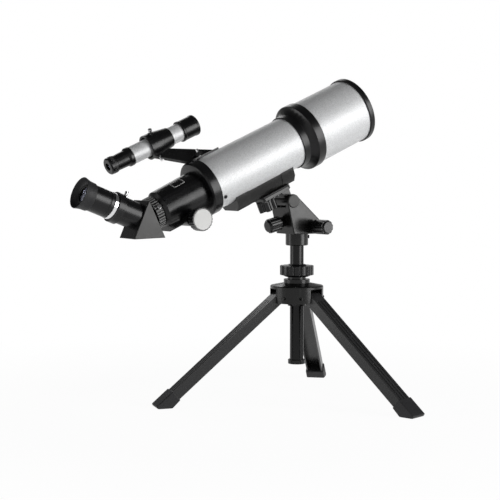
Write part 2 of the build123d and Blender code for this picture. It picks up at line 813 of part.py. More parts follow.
tension_seat = housing_rear_radius + face_gap
tension_screw = rod(tension_screw_radius, tension_seat, tension_seat + tension_screw_head)
tension_screw += rod(tension_screw_radius / 2, drawtube_radius + free_gap, tension_seat)
save("drawtube_tension_screw", tube_frame * tension_line * tension_screw)

# ---- drawtube with the end ring for the diagonal, and its rack ----
drawtube_bore = drawtube_radius - drawtube_wall
drawtube = tube(drawtube_radius, drawtube_bore, drawtube_rear, drawtube_front)
end_ring = fluted(end_ring_radius, end_ring_ribs, end_ring_rib_radius, drawtube_rear, end_ring_front)
end_ring -= rod(barrel_fit_radius + running_gap, drawtube_rear - overcut, end_ring_front + overcut)
drawtube += end_ring
end_screw_line = Pos(0, 0, end_screw_at) * Rot(0, 0, end_screw_heading) * Rot(0, 90, 0)
drawtube -= end_screw_line * rod(end_screw_radius + running_gap, 0, end_ring_radius + overcut)
drawtube -= block(
    (-drawtube_radius - overcut, -rack_flat),
    (-rack_width / 2 - seat_gap, rack_width / 2 + seat_gap),
    (rack_rear - seat_gap, drawtube_front + overcut),
)
save("drawtube", tube_frame * drawtube)

end_screw_seat = end_ring_radius + face_gap
end_screw = rod(end_screw_radius, barrel_fit_radius + free_gap, end_screw_seat)
end_screw += rod(end_screw_head_radius, end_screw_seat, end_screw_seat + end_screw_head)
save("drawtube_end_screw", tube_frame * end_screw_line * end_screw)

tooth_lean = tan(radians(pressure_angle))
tooth_pitch = pi * gear_module
half_tooth = tooth_pitch / 4 - gear_backlash / 2
rack_count = int((rack_front - rack_rear) / tooth_pitch) - 1
first_tooth = pinion_at - tooth_pitch * int((pinion_at - rack_rear - tooth_pitch / 2) / tooth_pitch)
tooth_outline = make_face(Polyline(
    (-rack_pitch + tooth_dedendum + rack_base / 4, -half_tooth - tooth_lean * tooth_dedendum),
    (-rack_pitch + tooth_dedendum, -half_tooth - tooth_lean * tooth_dedendum),
    (-rack_tip, -half_tooth + tooth_lean * tooth_addendum),
    (-rack_tip, half_tooth - tooth_lean * tooth_addendum),
    (-rack_pitch + tooth_dedendum, half_tooth + tooth_lean * tooth_dedendum),
    (-rack_pitch + tooth_dedendum + rack_base / 4, half_tooth + tooth_lean * tooth_dedendum),
    close=True,
))
rack_at = Pos(-rack_flat - rack_base / 2, span(rack_rear, rack_front))
rack_outline = rack_at * Rectangle(rack_base, rack_front - rack_rear)
for number in range(rack_count):
    rack_outline += Pos(0, first_tooth + number * tooth_pitch) * tooth_outline
save("drawtube_rack", tube_frame * profile(rack_outline, rack_width / 2))

# ---- focus shaft: pinion cut as involute teeth, a space facing the rack, and two knobs ----
base_radius = pitch_radius * cos(radians(pressure_angle))
root_radius = pitch_radius - tooth_dedendum


def involute(angle):
    """The angle by which the involute of this pressure angle has turned."""
    return tan(angle) - angle


def flank_angle(radius):
    """Half the tooth angle at a radius."""
    at_pitch = (pi / 2 - gear_backlash / gear_module) / pinion_teeth
    here = sqrt(max(1 - (base_radius / radius) ** 2, 0))
    return at_pitch + involute(radians(pressure_angle)) - involute(asin(here))


flank_steps = 4
flank_start = max(base_radius, root_radius)
flank_step = (tip_radius - flank_start) / flank_steps
flank_radii = [flank_start + flank_step * step for step in range(flank_steps + 1)]
flank = [(radius, flank_angle(radius)) for radius in flank_radii]
half_flank = [(root_radius * cos(flank[0][1]), root_radius * sin(flank[0][1]))]
half_flank += [(radius * cos(angle), radius * sin(angle)) for radius, angle in flank]
pinion_tooth = make_face(Polyline(
    (0, 0),
    *[(x, -y) for x, y in half_flank],
    *reversed(half_flank),
    close=True,
))
pinion_section = Circle(root_radius)
half_step = 180 / pinion_teeth
for number in range(pinion_teeth):
    pinion_section += Rot(0, 0, half_step + 2 * half_step * number) * pinion_tooth
pinion = Pos(0, 0, -pinion_half_width) * extrude(pinion_section, 2 * pinion_half_width)
knob_inner = focus_knob_face - focus_knob_thickness
shaft_reach = focus_knob_face - focus_knob_thickness / 2
pinion += rod(pinion_shaft_radius, -shaft_reach, shaft_reach)
save("focus_pinion_shaft", tube_frame * shaft_line * pinion)

knob_size = (focus_knob_radius, focus_knob_flutes, focus_knob_flute_radius)
focus_knob = fluted(*knob_size, knob_inner, focus_knob_face)
focus_knob += rod(pinion_shaft_radius * 2, pinion_boss_reach + face_gap, knob_inner)
focus_knob -= rod(pinion_shaft_radius + seat_gap, 0, shaft_reach + seat_gap)
focus_cap = turned(
    (0, focus_knob_face),
    (focus_cap_radius, focus_knob_face),
    (focus_cap_radius - focus_cap_height, focus_knob_face + focus_cap_height),
    (0, focus_knob_face + focus_cap_height),
)
save("focus_knobs", tube_frame * shaft_line * group([Rot(flip, 0, 0) * focus_knob for flip in (0, 180)]))
save("focus_knob_caps", tube_frame * shaft_line * group([Rot(flip, 0, 0) * focus_cap for flip in (0, 180)]))

# ---- star diagonal: wedge body between two light paths, nosepiece, socket, mirror ----
half_turn = turn / 2


def socket_side(point):
    """The mirror image of a (height, along) point in the line that halves the light paths."""
    height = point[0]
    along = point[1] - diagonal_at
    return (height * cos(turn) + along * sin(turn), height * sin(turn) - along * cos(turn) + diagonal_at)


def wedge_outline(face, base):
    """The wedge in the (height, along) plane, by its reach to the end faces and to the mirror side."""
    apex = (face / tan(half_turn), diagonal_at + face)
    front_low = (-(base + face * sin(half_turn)) / cos(half_turn), diagonal_at + face)
    return make_face(Polyline(apex, front_low, socket_side(front_low), close=True))


wedge_body = profile(wedge_outline(diagonal_face, diagonal_base), diagonal_half_width)
wedge_room = profile(
    wedge_outline(diagonal_face - diagonal_wall, diagonal_base - diagonal_wall),
    diagonal_half_width - diagonal_wall,
)
nose_line = Pos(0, 0, diagonal_at)
nose_front = diagonal_face + nose_length
nose_bore = barrel_fit_radius - nose_wall
socket_bore = barrel_fit_radius + running_gap
thumb_line = socket_line * Pos(0, 0, thumb_screw_at) * Rot(0, 90, 0)
diagonal = wedge_body + nose_line * rod(barrel_fit_radius, 0, nose_front)
diagonal += socket_line * rod(socket_radius, diagonal_face, socket_end)
diagonal += socket_line * rod(socket_ring_radius, socket_ring_start, socket_end)
diagonal -= wedge_room
diagonal -= nose_line * rod(nose_bore, 0, nose_front + overcut)
diagonal -= socket_line * rod(socket_bore, 0, socket_end + overcut)
diagonal -= thumb_line * rod(thumb_screw_radius + running_gap, 0, socket_ring_radius + overcut)
save("diagonal_body", tube_frame * diagonal)

side_outline = wedge_outline(diagonal_face, diagonal_base)
side_outline = fillet(side_outline.vertices(), side_plate_round)
side_plate = extrude(Plane.XZ * side_outline, side_plate_thickness)
right_plate = Pos(0, -diagonal_half_width, 0) * side_plate
left_plate = Pos(0, diagonal_half_width + side_plate_thickness, 0) * side_plate
save("diagonal_side_plates", tube_frame * group([right_plate, left_plate]))

mirror_frame = nose_line * Plane(
    origin=(0, 0, 0),
    x_dir=(sin(half_turn), 0, -cos(half_turn)),
    z_dir=(cos(half_turn), 0, sin(half_turn)),
).location
mirror_seat = -diagonal_base + diagonal_wall + seat_gap
mirror_top = mirror_seat + mirror_thickness
mirror_half_length = (diagonal_face - diagonal_wall - mirror_top * sin(half_turn)) / cos(half_turn) - seat_gap
mirror = block(
    (-mirror_half_length, mirror_half_length),
    (-diagonal_half_width + 2 * diagonal_wall, diagonal_half_width - 2 * diagonal_wall),
    (mirror_seat, mirror_top),
)
save("diagonal_mirror", tube_frame * mirror_frame * mirror)

thumb_head_base = socket_radius + thumb_stem
thumb_tip = barrel_fit_radius + free_gap
thumb_screw = rod(thumb_screw_radius, thumb_tip, thumb_head_base)
thumb_top = thumb_head_base + thumb_head_height
thumb_screw += fluted(thumb_head_radius, knob_flutes, knob_flute_radius / 3, thumb_head_base, thumb_top)
save("diagonal_thumb_screw", tube_frame * thumb_line * thumb_screw)

# ---- eyepiece, in the frame of the socket ----
shoulder_start = socket_end + seat_gap
shoulder_end = shoulder_start + eyepiece_shoulder
barrel_start = shoulder_start - eyepiece_barrel_length
barrel_bore = barrel_fit_radius - eyepiece_wall
barrel = turned(
    (barrel_bore, barrel_start),
    (barrel_fit_radius, barrel_start),
    (barrel_fit_radius, shoulder_start),
    (eyepiece_shoulder_radius, shoulder_start),
    (eyepiece_shoulder_radius, shoulder_end),
    (barrel_bore, shoulder_end),
)
save("eyepiece_barrel", diagonal_frame * barrel)

eye_lens_rear = eyepiece_body_end - eye_lens_thickness
body = turned(
    (barrel_bore, shoulder_end),
    (eyepiece_body_radius, shoulder_end),
    (eyepiece_body_radius, eyepiece_body_end),
    (eye_lens_radius + seat_gap, eyepiece_body_end),
    (eye_lens_radius + seat_gap, eye_lens_rear - seat_gap),
    (eye_lens_radius - eyepiece_wall, eye_lens_rear - seat_gap),
)
save("eyepiece_body", diagonal_frame * body)
eye_lens = rod(eye_lens_radius, eye_lens_rear, eyepiece_body_end - eyepiece_wall / 2)
save("eyepiece_eye_lens", diagonal_frame * eye_lens)
field_lens_rear = barrel_start + eyepiece_wall
field_lens = rod(barrel_bore - seat_gap, field_lens_rear, field_lens_rear + field_lens_thickness)
save("eyepiece_field_lens", diagonal_frame * field_lens)

cup_start = eyepiece_body_end - eye_cup_overlap
eye_cup = turned(
    (eyepiece_body_radius + seat_gap, cup_start),
    (eyepiece_body_radius + eye_cup_wall, cup_start),
    (eye_cup_radius, eye_cup_end - eye_cup_wall),
    (eye_cup_radius, eye_cup_end),
    (eye_cup_radius - eye_cup_wall, eye_cup_end),
    (eye_cup_opening, eyepiece_body_end + eye_cup_wall),
    (eye_cup_opening, eyepiece_body_end + seat_gap),
    (eyepiece_body_radius + seat_gap, eyepiece_body_end + seat_gap),
)
save("eye_cup", diagonal_frame * eye_cup)

# ---- finder: tube, front cap with lens, stepped body and focusing eyepiece ----
finder_bore = finder_radius - finder_wall
save("finder_tube", finder_frame * tube(finder_radius, finder_bore, finder_tube_rear, finder_tube_front))
cap_edge = finder_cap_radius / 10
lens_front = finder_lens_at + finder_lens_thickness
front_cap = turned(
    (finder_radius + seat_gap, finder_cap_rear),
    (finder_cap_radius, finder_cap_rear),
    (finder_cap_radius, finder_cap_front - cap_edge),
    (finder_cap_radius - cap_edge, finder_cap_front),
    (finder_bore - seat_gap, finder_cap_front),
    (finder_bore - seat_gap, finder_tube_front + seat_gap),
    (finder_radius + seat_gap, finder_tube_front + seat_gap),
)
save("finder_front_cap", finder_frame * front_cap)
save("finder_objective", finder_frame * rod(finder_bore - seat_gap, finder_lens_at, lens_front))

eye_body_bore = finder_eye_bore + finder_wall
finder_body = turned(
    (eye_body_bore + running_gap, finder_body_rear),
    (finder_body_radius, finder_body_rear),
    (finder_body_radius + finder_wall / 2, finder_tube_rear - finder_stop_length / 2),
    (finder_stop_radius, finder_tube_rear),
    (finder_stop_radius, finder_tube_rear + finder_stop_length),
    (finder_radius + seat_gap, finder_tube_rear + finder_stop_length),
    (finder_radius + seat_gap, finder_tube_rear - seat_gap),
    (eye_body_bore + running_gap, finder_tube_rear - seat_gap),
)
save("finder_rear_body", finder_frame * finder_body)

eye_round = finder_wall * 1.5
finder_eye_front = finder_body_rear - face_gap
finder_eyepiece = turned(
    (finder_eye_bore, finder_eye_rear),
    (finder_eye_radius - eye_round, finder_eye_rear),
    (finder_eye_radius, finder_eye_rear + eye_round),
    (finder_eye_radius, finder_eye_front),
    (eye_body_bore, finder_eye_front),
    (eye_body_bore, finder_tube_rear - finder_stop_length),
    (finder_eye_bore, finder_tube_rear - finder_stop_length),
)
save("finder_eyepiece", finder_frame * finder_eyepiece)
finder_lens_rear = finder_eye_rear + finder_lens_thickness
finder_lens = rod(finder_eye_bore - seat_gap, finder_lens_rear, finder_lens_rear + finder_lens_thickness)
save("finder_eye_lens", finder_frame * finder_lens)

# ---- finder bracket: ring with three screw bosses, leaning arm, foot strip on the tube ----
# Drawn beside the tube, with X outwards from the tube axis through the finder axis.
seat_rear = bracket_front - bracket_seat_length
ring_outline = (
    (bracket_bore_radius, bracket_rear),
    (bracket_rear_radius, bracket_rear),
    (bracket_rear_radius, bracket_step),
    (bracket_front_radius, bracket_front),
    (finder_radius + seat_gap, bracket_front),
    (finder_radius + seat_gap, seat_rear),
    (bracket_bore_radius, seat_rear - bracket_seat_length / 2),
)
finder_line = Pos(finder_offset, 0, 0)
adjuster_turns = [adjuster_heading + 360 / adjuster_count * number for number in range(adjuster_count)]
adjuster_lines = [
    Pos(finder_offset, 0, adjuster_at) * Rot(0, 0, heading) * Rot(0, 90, 0) for heading in adjuster_turns
]
adjuster_end = adjuster_top + adjuster_head_height
foot_inner = tube_radius + seat_gap
foot_outer = foot_inner + foot_strip_thickness
arm_root = finder_offset - bracket_front_radius + finder_wall
arm_foot = span(foot_inner, foot_outer)
arm_outline = make_face(Polyline(
    (arm_root - bracket_rear_radius + bracket_front_radius, bracket_rear + finder_wall),
    (arm_root, arm_root_front),
    (foot_outer, arm_foot_front),
    (arm_foot, arm_foot_front),
    (arm_foot, rear_collar_front + free_gap),
    (rear_collar_radius + free_gap, rear_collar_front + free_gap),
    close=True,
))
foot_section = Pos(span(foot_inner, foot_outer), span(foot_strip_rear, foot_strip_front)) * Rectangle(
    foot_strip_thickness, foot_strip_front - foot_strip_rear
)
foot_strip = revolve(Plane.XZ * foot_section, Axis.Z, 2 * foot_strip_half_angle)
bracket = finder_line * turned(*ring_outline) + profile(arm_outline, arm_thickness / 2)
bracket += Rot(0, 0, -foot_strip_half_angle) * foot_strip
boss_base = span(bracket_bore_radius, bracket_rear_radius)
for line in adjuster_lines:
    bracket += line * rod(bracket_boss_radius, boss_base, bracket_boss_top)
bracket -= finder_line * rod(bracket_bore_radius, bracket_rear - overcut, seat_rear - bracket_seat_length / 2)
for line in adjuster_lines:
    bracket -= line * rod(adjuster_radius + running_gap, finder_radius, bracket_boss_top + overcut)
    bracket -= line * rod(adjuster_head_radius + free_gap, bracket_boss_top, adjuster_end + free_gap)
stud_lines = [
    Pos(0, 0, stud_at) * Rot(0, 0, stud_angle * side) * Rot(0, 90, 0) for side in (-1, 1)
]
for line in stud_lines:
    bracket -= line * rod(stud_radius + seat_gap, tube_radius, foot_outer + overcut)
save("finder_bracket", finder_side * bracket)

stud = rod(stud_radius, foot_inner, foot_inner + stud_height)
save("finder_bracket_studs", finder_side * group([line * stud for line in stud_lines]))
nut_seat = foot_outer + foot_strip_thickness / 4
knurled_nut = fluted(knurl_radius, knurl_count, knurl_radius / 10, nut_seat, nut_seat + knurl_height)
knurled_nut -= rod(stud_radius + seat_gap, foot_inner, foot_inner + stud_height)
save("finder_bracket_nuts", finder_side * group([line * knurled_nut for line in stud_lines]))

adjuster_tip = finder_radius + face_gap
adjuster = rod(adjuster_radius, adjuster_tip, adjuster_top)
notch_radius = adjuster_head_radius / knob_flutes
adjuster += fluted(adjuster_head_radius, knob_flutes, notch_radius, adjuster_top, adjuster_end)
for number, line in enumerate(adjuster_lines, 1):
    save(f"finder_adjusting_screw_{number}", finder_side * line * adjuster)
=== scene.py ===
import json
from math import cos, pi, radians, sin

import bmesh
import bpy
from mathutils import Matrix, Vector

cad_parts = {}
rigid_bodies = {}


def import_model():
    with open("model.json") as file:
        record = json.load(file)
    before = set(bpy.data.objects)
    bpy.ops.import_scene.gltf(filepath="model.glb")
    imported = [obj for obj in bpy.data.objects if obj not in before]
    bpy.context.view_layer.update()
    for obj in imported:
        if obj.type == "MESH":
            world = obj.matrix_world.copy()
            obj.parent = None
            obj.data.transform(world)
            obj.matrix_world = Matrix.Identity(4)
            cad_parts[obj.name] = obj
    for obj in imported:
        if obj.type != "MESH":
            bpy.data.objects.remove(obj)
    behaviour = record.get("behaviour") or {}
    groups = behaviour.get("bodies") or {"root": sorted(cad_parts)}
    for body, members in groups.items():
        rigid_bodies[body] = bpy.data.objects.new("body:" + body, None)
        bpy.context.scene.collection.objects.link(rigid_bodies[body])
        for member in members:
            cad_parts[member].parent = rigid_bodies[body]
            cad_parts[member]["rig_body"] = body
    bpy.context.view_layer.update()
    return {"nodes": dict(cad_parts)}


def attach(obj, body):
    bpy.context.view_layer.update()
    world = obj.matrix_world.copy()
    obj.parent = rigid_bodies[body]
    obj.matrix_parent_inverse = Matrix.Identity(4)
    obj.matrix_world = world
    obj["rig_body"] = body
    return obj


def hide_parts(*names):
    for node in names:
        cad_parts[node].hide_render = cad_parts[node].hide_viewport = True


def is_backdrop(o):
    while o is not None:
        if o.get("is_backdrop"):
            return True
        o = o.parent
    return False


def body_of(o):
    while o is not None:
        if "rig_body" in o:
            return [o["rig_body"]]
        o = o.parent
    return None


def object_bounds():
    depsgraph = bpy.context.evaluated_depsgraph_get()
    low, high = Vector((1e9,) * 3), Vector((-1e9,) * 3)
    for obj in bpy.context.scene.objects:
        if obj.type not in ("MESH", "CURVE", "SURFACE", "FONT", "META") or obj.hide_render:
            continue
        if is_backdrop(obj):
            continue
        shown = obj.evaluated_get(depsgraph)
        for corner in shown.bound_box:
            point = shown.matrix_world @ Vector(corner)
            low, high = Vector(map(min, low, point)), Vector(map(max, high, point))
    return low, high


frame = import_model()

nodes = frame["nodes"]
scene = bpy.context.scene
print("frame loaded:", len(nodes), "nodes")

# where the telescope stands, in metres
place = {
    "columnX": 0.0956,
    "columnY": 0.0231,
    "axisHeight": 0.3640,          # tube axis over the column
    "tubeTilt": 23.5,              # degrees above level
    "diagonalAt": -0.2660,         # crossing of the light paths, along the tube
    "diagonalTurn": 45.0,
    "finderOffset": 0.0840,
    "finderAngle": 32.0,
    "firstLeg": 45.3,
    "legPivotRadius": 0.0280,
    "legPivotHeight": 0.1445,
    "legFootRadius": 0.1930,
    "legEndHeight": 0.00358,
}
column = Vector((place["columnX"], place["columnY"], 0))
tilt = radians(place["tubeTilt"])
tubeOrigin = column + Vector((0, 0, place["axisHeight"]))
along = Vector((cos(tilt), 0, sin(tilt)))       # towards the objective
up = Vector((-sin(tilt), 0, cos(tilt)))
right = Vector((0, -1, 0))                      # seen from the eyepiece


def tubePoint(x, y, z):
    return tubeOrigin + up * x + right * y + along * z


def axes(origin, xDir, zDir):
    yDir = zDir.cross(xDir)
    turned = Matrix((xDir, yDir, zDir)).transposed().to_4x4()
    return Matrix.Translation(origin) @ turned


tubeFrame = axes(tubeOrigin, up, along)
socketTurn = radians(place["diagonalTurn"])
socketAlong = up * sin(socketTurn) - along * cos(socketTurn)
socketFrame = axes(
    tubePoint(0, 0, place["diagonalAt"]), up * cos(socketTurn) + along * sin(socketTurn), socketAlong
)
finderTurn = radians(-place["finderAngle"])
finderUp = up * cos(finderTurn) + right * sin(finderTurn)
finderFrame = axes(tubeOrigin + finderUp * place["finderOffset"], finderUp, along)


def legFrame(number):
    heading = radians(place["firstLeg"] + 120 * number)
    outward = Vector((cos(heading), sin(heading), 0))
    root = column + outward * place["legPivotRadius"] + Vector((0, 0, place["legPivotHeight"]))
    foot = column + outward * place["legFootRadius"] + Vector((0, 0, place["legEndHeight"]))
    downLeg = (foot - root).normalized()
    return axes(root, downLeg.cross(outward.cross(Vector((0, 0, 1)))) * -1, downLeg)


# camera
view = {
    "location": (-0.94044, -1.42759, 0.32764), "pitch": 3.803, "heading": -33.441,
    "focalPixels": 1284.6, "framePixels": 500.0,
}
camera = bpy.data.cameras.new("studioCamera")
camera.sensor_width = 36.0
camera.lens = camera.sensor_width * view["focalPixels"] / view["framePixels"]
camera.clip_start = 0.05
cameraObject = bpy.data.objects.new("studioCamera", camera)
cameraObject.location = view["location"]
cameraObject.rotation_euler = (radians(90 - view["pitch"]), 0, radians(view["heading"]))
scene.collection.objects.link(cameraObject)
scene.camera = cameraObject
print("camera set")


# node tools: a socket that takes part in plain maths, and a node tree while it is laid out
class Wire:
    def __init__(self, tree, socket):
        self.tree = tree
        self.socket = socket

    def maths(self, operation, *values):
        node = self.tree.nodes.new("ShaderNodeMath")
        node.operation = operation
        for socket, value in zip(node.inputs, values):
            plug(self.tree, socket, value)
        return Wire(self.tree, node.outputs[0])

    def __add__(self, other):
        return self.maths("ADD", self, other)

    __radd__ = __add__

    def __sub__(self, other):
        return self.maths("SUBTRACT", self, other)

    def __rsub__(self, other):
        return self.maths("SUBTRACT", other, self)

    def __mul__(self, other):
        return self.maths("MULTIPLY", self, other)

    __rmul__ = __mul__

    def __pow__(self, other):
        return self.maths("POWER", self, other)

    def __gt__(self, other):
        return self.maths("GREATER_THAN", self, other)

    def __lt__(self, other):
        return self.maths("LESS_THAN", self, other)


def plug(tree, socket, value):
    if isinstance(value, Wire):
        tree.links.new(value.socket, socket)
    elif hasattr(value, "__len__") and len(value) == 3 and len(socket.default_value) == 4:
        socket.default_value = (*value, 1)
    else:
        socket.default_value = value


class Layout:
    def __init__(self, tree):
        self.tree = tree

    def add(self, kind, settings=None, values=None, out=0):
        node = self.tree.nodes.new(kind)
        for key, value in (settings or {}).items():
            setattr(node, key, value)
        for key, value in (values or {}).items():
            plug(self.tree, node.inputs[key], value)
        return Wire(self.tree, node.outputs[out])

    def parts(self, vector):
        split = self.tree.nodes.new("ShaderNodeSeparateXYZ")
        plug(self.tree, split.inputs[0], vector)
        return [Wire(self.tree, socket) for socket in split.outputs]


class Finish(Layout):
    def __init__(self, name, **shader):
        self.material = bpy.data.materials.new(name)
        self.material.use_nodes = True
        super().__init__(self.material.node_tree)
        self.shader = self.tree.nodes["Principled BSDF"]
        self.set(**shader)
        self.place = self.add("ShaderNodeTexCoord", out="Object")

    def set(self, **values):
        names = {
            "color": "Base Color", "rough": "Roughness", "metal": "Metallic", "coat": "Coat Weight",
            "coatRough": "Coat Roughness", "normal": "Normal", "ior": "IOR", "clear": "Transmission Weight",
            "specular": "Specular IOR Level",
        }
        for key, value in values.items():
            plug(self.tree, self.shader.inputs[names[key]], value)

    def noise(self, scale, detail=2.0, rough=0.5, vector=None):
        return self.add("ShaderNodeTexNoise", {}, {
            "Vector": vector or self.place, "Scale": scale, "Detail": detail, "Roughness": rough,
        })

    def mix(self, amount, first, second):
        return self.add("ShaderNodeMix", {"data_type": "RGBA"}, {0: amount, 6: first, 7: second}, out=2)

    def fade(self, value, low, high, toLow=0.0, toHigh=1.0):
        return self.add("ShaderNodeMapRange", {"clamp": True}, {
            "Value": value, "From Min": low, "From Max": high, "To Min": toLow, "To Max": toHigh,
        })

    def bump(self, height, depth, strength=1.0):
        return self.add("ShaderNodeBump", {}, {"Height": height, "Strength": strength, "Distance": depth})

    def inFrame(self, origin, turn):
        return self.add("ShaderNodeMapping", {"vector_type": "TEXTURE"}, {
            "Vector": self.place, "Location": tuple(origin), "Rotation": turn,
        })

    def stretched(self, scale):
        return self.add("ShaderNodeMapping", {}, {"Vector": self.place, "Scale": scale})

    def facingUp(self):
        return self.parts(self.add("ShaderNodeNewGeometry", out="Normal"))[2]

    def edges(self, low=0.52, high=0.62):
        return self.fade(self.add("ShaderNodeNewGeometry", out="Pointiness"), low, high)


# finishes
print("finishes")
silverPaint = {
    "light": (0.66, 0.665, 0.67), "dark": (0.42, 0.425, 0.43), "inside": (0.010, 0.010, 0.011),
    "grainScale": 2100.0, "flakeScale": 1500.0, "cloudScale": 9.0, "grainDepth": 0.00003,
    "metal": 0.25, "coat": 0.08, "smoothest": 0.44, "roughest": 0.56,
    "tubeRadius": 0.0360, "shieldRadius": 0.0446, "finderRadius": 0.0120, "wall": 0.0006,
    "finderWall": 0.00048,
}


def makeSilver(name, origin, radius, wall):
    paint = silverPaint
    finish = Finish(name, coatRough=0.25)
    x, y, z = finish.parts(finish.inFrame(origin, (0, -tilt, 0)))
    radial = (y * y + z * z) ** 0.5
    inside = radial < radius - wall
    grain = finish.noise(paint["grainScale"], 3.0, 0.7)
    flake = finish.add(
        "ShaderNodeTexVoronoi", {}, {"Vector": finish.place, "Scale": paint["flakeScale"]}, out="Color"
    )
    sparkle = finish.parts(flake)[0]
    cloud = finish.noise(paint["cloudScale"], 3.0)
    tone = finish.fade(grain * 0.7 + sparkle * 0.35 + cloud * 0.15, 0.40, 0.80)
    coat = finish.mix(tone, paint["dark"], paint["light"])
    finish.set(
        color=finish.mix(inside, coat, paint["inside"]),
        metal=(1 - inside) * paint["metal"],
        rough=finish.fade(sparkle + grain, 0.4, 1.6, paint["smoothest"], paint["roughest"]) + inside * 0.3,
        coat=(1 - inside) * paint["coat"],
        normal=finish.bump(grain + sparkle * 0.5, paint["grainDepth"], 0.35),
    )
    return finish.material


plasticWear = {
    "patchScale": 38.0, "dustFacing": (0.55, 1.0), "dustPatch": (0.45, 0.75),
    "dusty": (1.5, 0.005), "rubbed": (2.0, 0.010),      # times the colour, and added to it
}


def paler(color, gain, lift):
    return tuple(channel * gain + lift for channel in color)


def makePlastic(
    name, color, rough, grainScale=1700.0, grainDepth=0.00005, worn=0.5, coat=0.0, specular=0.5
):
    finish = Finish(name, specular=specular, coatRough=0.12, coat=coat)
    grain = finish.noise(grainScale, 2.0, 0.6)
    patch = finish.noise(plasticWear["patchScale"], 4.0, 0.6)
    onTop = finish.fade(finish.facingUp(), *plasticWear["dustFacing"])
    dust = onTop * finish.fade(patch, *plasticWear["dustPatch"])
    body = finish.mix(dust * worn, color, paler(color, *plasticWear["dusty"]))
    finish.set(
        color=finish.mix(finish.edges() * worn, body, paler(color, *plasticWear["rubbed"])),
        rough=finish.fade(patch + grain * 0.4, 0.35, 1.0, rough - 0.06, rough + 0.08),
        normal=finish.bump(grain, grainDepth, 0.5),
    )
    return finish.material


metalWear = {"stretch": (1.0, 1.0, 0.08), "smearScale": 60.0, "darker": 0.8, "scratchDepth": 0.00001}


def makeMetal(name, color, rough, metal=1.0, scratchScale=900.0, specular=0.5):
    finish = Finish(name, specular=specular)
    scratch = finish.noise(scratchScale, 3.0, 0.7, finish.stretched(metalWear["stretch"]))
    smear = finish.noise(metalWear["smearScale"], 3.0, 0.6)
    darker = tuple(channel * metalWear["darker"] for channel in color)
    finish.set(
        color=finish.mix(finish.fade(scratch, 0.3, 0.7), darker, color),
        metal=metal,
        rough=finish.fade(smear + scratch * 0.5, 0.4, 1.1, max(rough - 0.05, 0.02), rough + 0.07),
        normal=finish.bump(scratch, metalWear["scratchDepth"], 0.3),
    )
    return finish.material


rubberWear = {"grainScale": 1200.0, "grainDepth": 0.00008, "patchScale": 45.0, "chalky": (1.8, 0.012)}


def makeRubber(name, color, rough):
    finish = Finish(name, specular=0.35)
    grain = finish.noise(rubberWear["grainScale"], 3.0, 0.7)
    patch = finish.noise(rubberWear["patchScale"], 4.0, 0.65)
    chalk = paler(color, *rubberWear["chalky"])
    finish.set(
        color=finish.mix(finish.fade(patch, 0.5, 0.85) * 0.5, color, chalk),
        rough=finish.fade(patch, 0.3, 0.7, rough - 0.08, rough + 0.08),
        normal=finish.bump(grain, rubberWear["grainDepth"], 0.6),
    )
    return finish.material


def makeGlass(name, tint, coatTint):
    finish = Finish(name, ior=1.52, clear=1.0, coatRough=0.02, coat=0.6)
    smudge = finish.noise(55.0, 3.0)
    rim = finish.add("ShaderNodeLayerWeight", {}, {"Blend": 0.35}, out="Facing")
    finish.set(
        color=finish.mix(rim, tint, coatTint),
        rough=finish.fade(smudge, 0.4, 0.8, 0.01, 0.04),
    )
    return finish.material


def makeMirror(name):
    finish = Finish(name, metal=1.0)
    haze = finish.noise(70.0, 3.0)
    finish.set(
        color=finish.mix(haze, (0.86, 0.87, 0.88), (0.9, 0.9, 0.9)),
        rough=finish.fade(haze, 0.3, 0.7, 0.02, 0.05),
    )
    return finish.material


finishes = {
    "satinBlack": makePlastic("satinBlack", (0.003, 0.003, 0.0034), 0.25, specular=0.26),
    "darkCasting": makePlastic("darkCasting", (0.004, 0.004, 0.0038), 0.23, specular=0.27),
    "gripBlack": makePlastic("gripBlack", (0.003, 0.003, 0.0034), 0.24, worn=0.4, specular=0.28),
    "legBlack": makePlastic("legBlack", (0.012, 0.012, 0.0125), 0.27, 1300.0, 0.00004, specular=0.36),
    "glossBlack": makePlastic("glossBlack", (0.002, 0.002, 0.0024), 0.29, worn=0.3, specular=0.30),
    "capGrey": makePlastic("capGrey", (0.040, 0.040, 0.039), 0.45, worn=0.3, specular=0.3),
    "plateGrey": makePlastic("plateGrey", (0.017, 0.0165, 0.0155), 0.30, worn=0.15, specular=0.25),
    "capWhite": makePlastic("capWhite", (0.56, 0.56, 0.55), 0.42, worn=0.1, specular=0.3),
    "blackPaint": makeMetal("blackPaint", (0.003, 0.003, 0.0034), 0.22, 0.02, specular=0.22),
    "chrome": makeMetal("chrome", (0.78, 0.78, 0.79), 0.10),
    "turnedSteel": makeMetal("turnedSteel", (0.42, 0.42, 0.43), 0.30),
    "darkSteel": makeMetal("darkSteel", (0.03, 0.03, 0.033), 0.35),
    "rubber": makeRubber("rubber", (0.009, 0.009, 0.010), 0.55),
    "coatedGlass": makeGlass("coatedGlass", (0.80, 0.88, 0.86), (0.35, 0.30, 0.62)),
    # grip ribs coloured mid grey instead of black: a painted highlight standing in for the glints along the
    # ribs
    "ribBlack": makePlastic("ribBlack", (0.11, 0.11, 0.108), 0.20, worn=0.3, coat=0.6, specular=0.8),
    "paleInk": makePlastic("paleInk", (0.52, 0.52, 0.51), 0.45, worn=0.1),
    "wallBlack": makePlastic(
        "wallBlack", (0.004, 0.004, 0.004), 0.70, 900.0, 0.00008, worn=0.1, specular=0.15
    ),
    "eyeGlass": makeGlass("eyeGlass", (0.60, 0.66, 0.78), (0.30, 0.24, 0.55)),
    "mirror": makeMirror("mirror"),
    "silverTube": makeSilver("silverTube", tubeOrigin, silverPaint["tubeRadius"], silverPaint["wall"]),
    "silverShield": makeSilver("silverShield", tubeOrigin, silverPaint["shieldRadius"], silverPaint["wall"]),
    "silverFinder": makeSilver(
        "silverFinder", finderFrame.translation, silverPaint["finderRadius"], silverPaint["finderWall"]
    ),
}

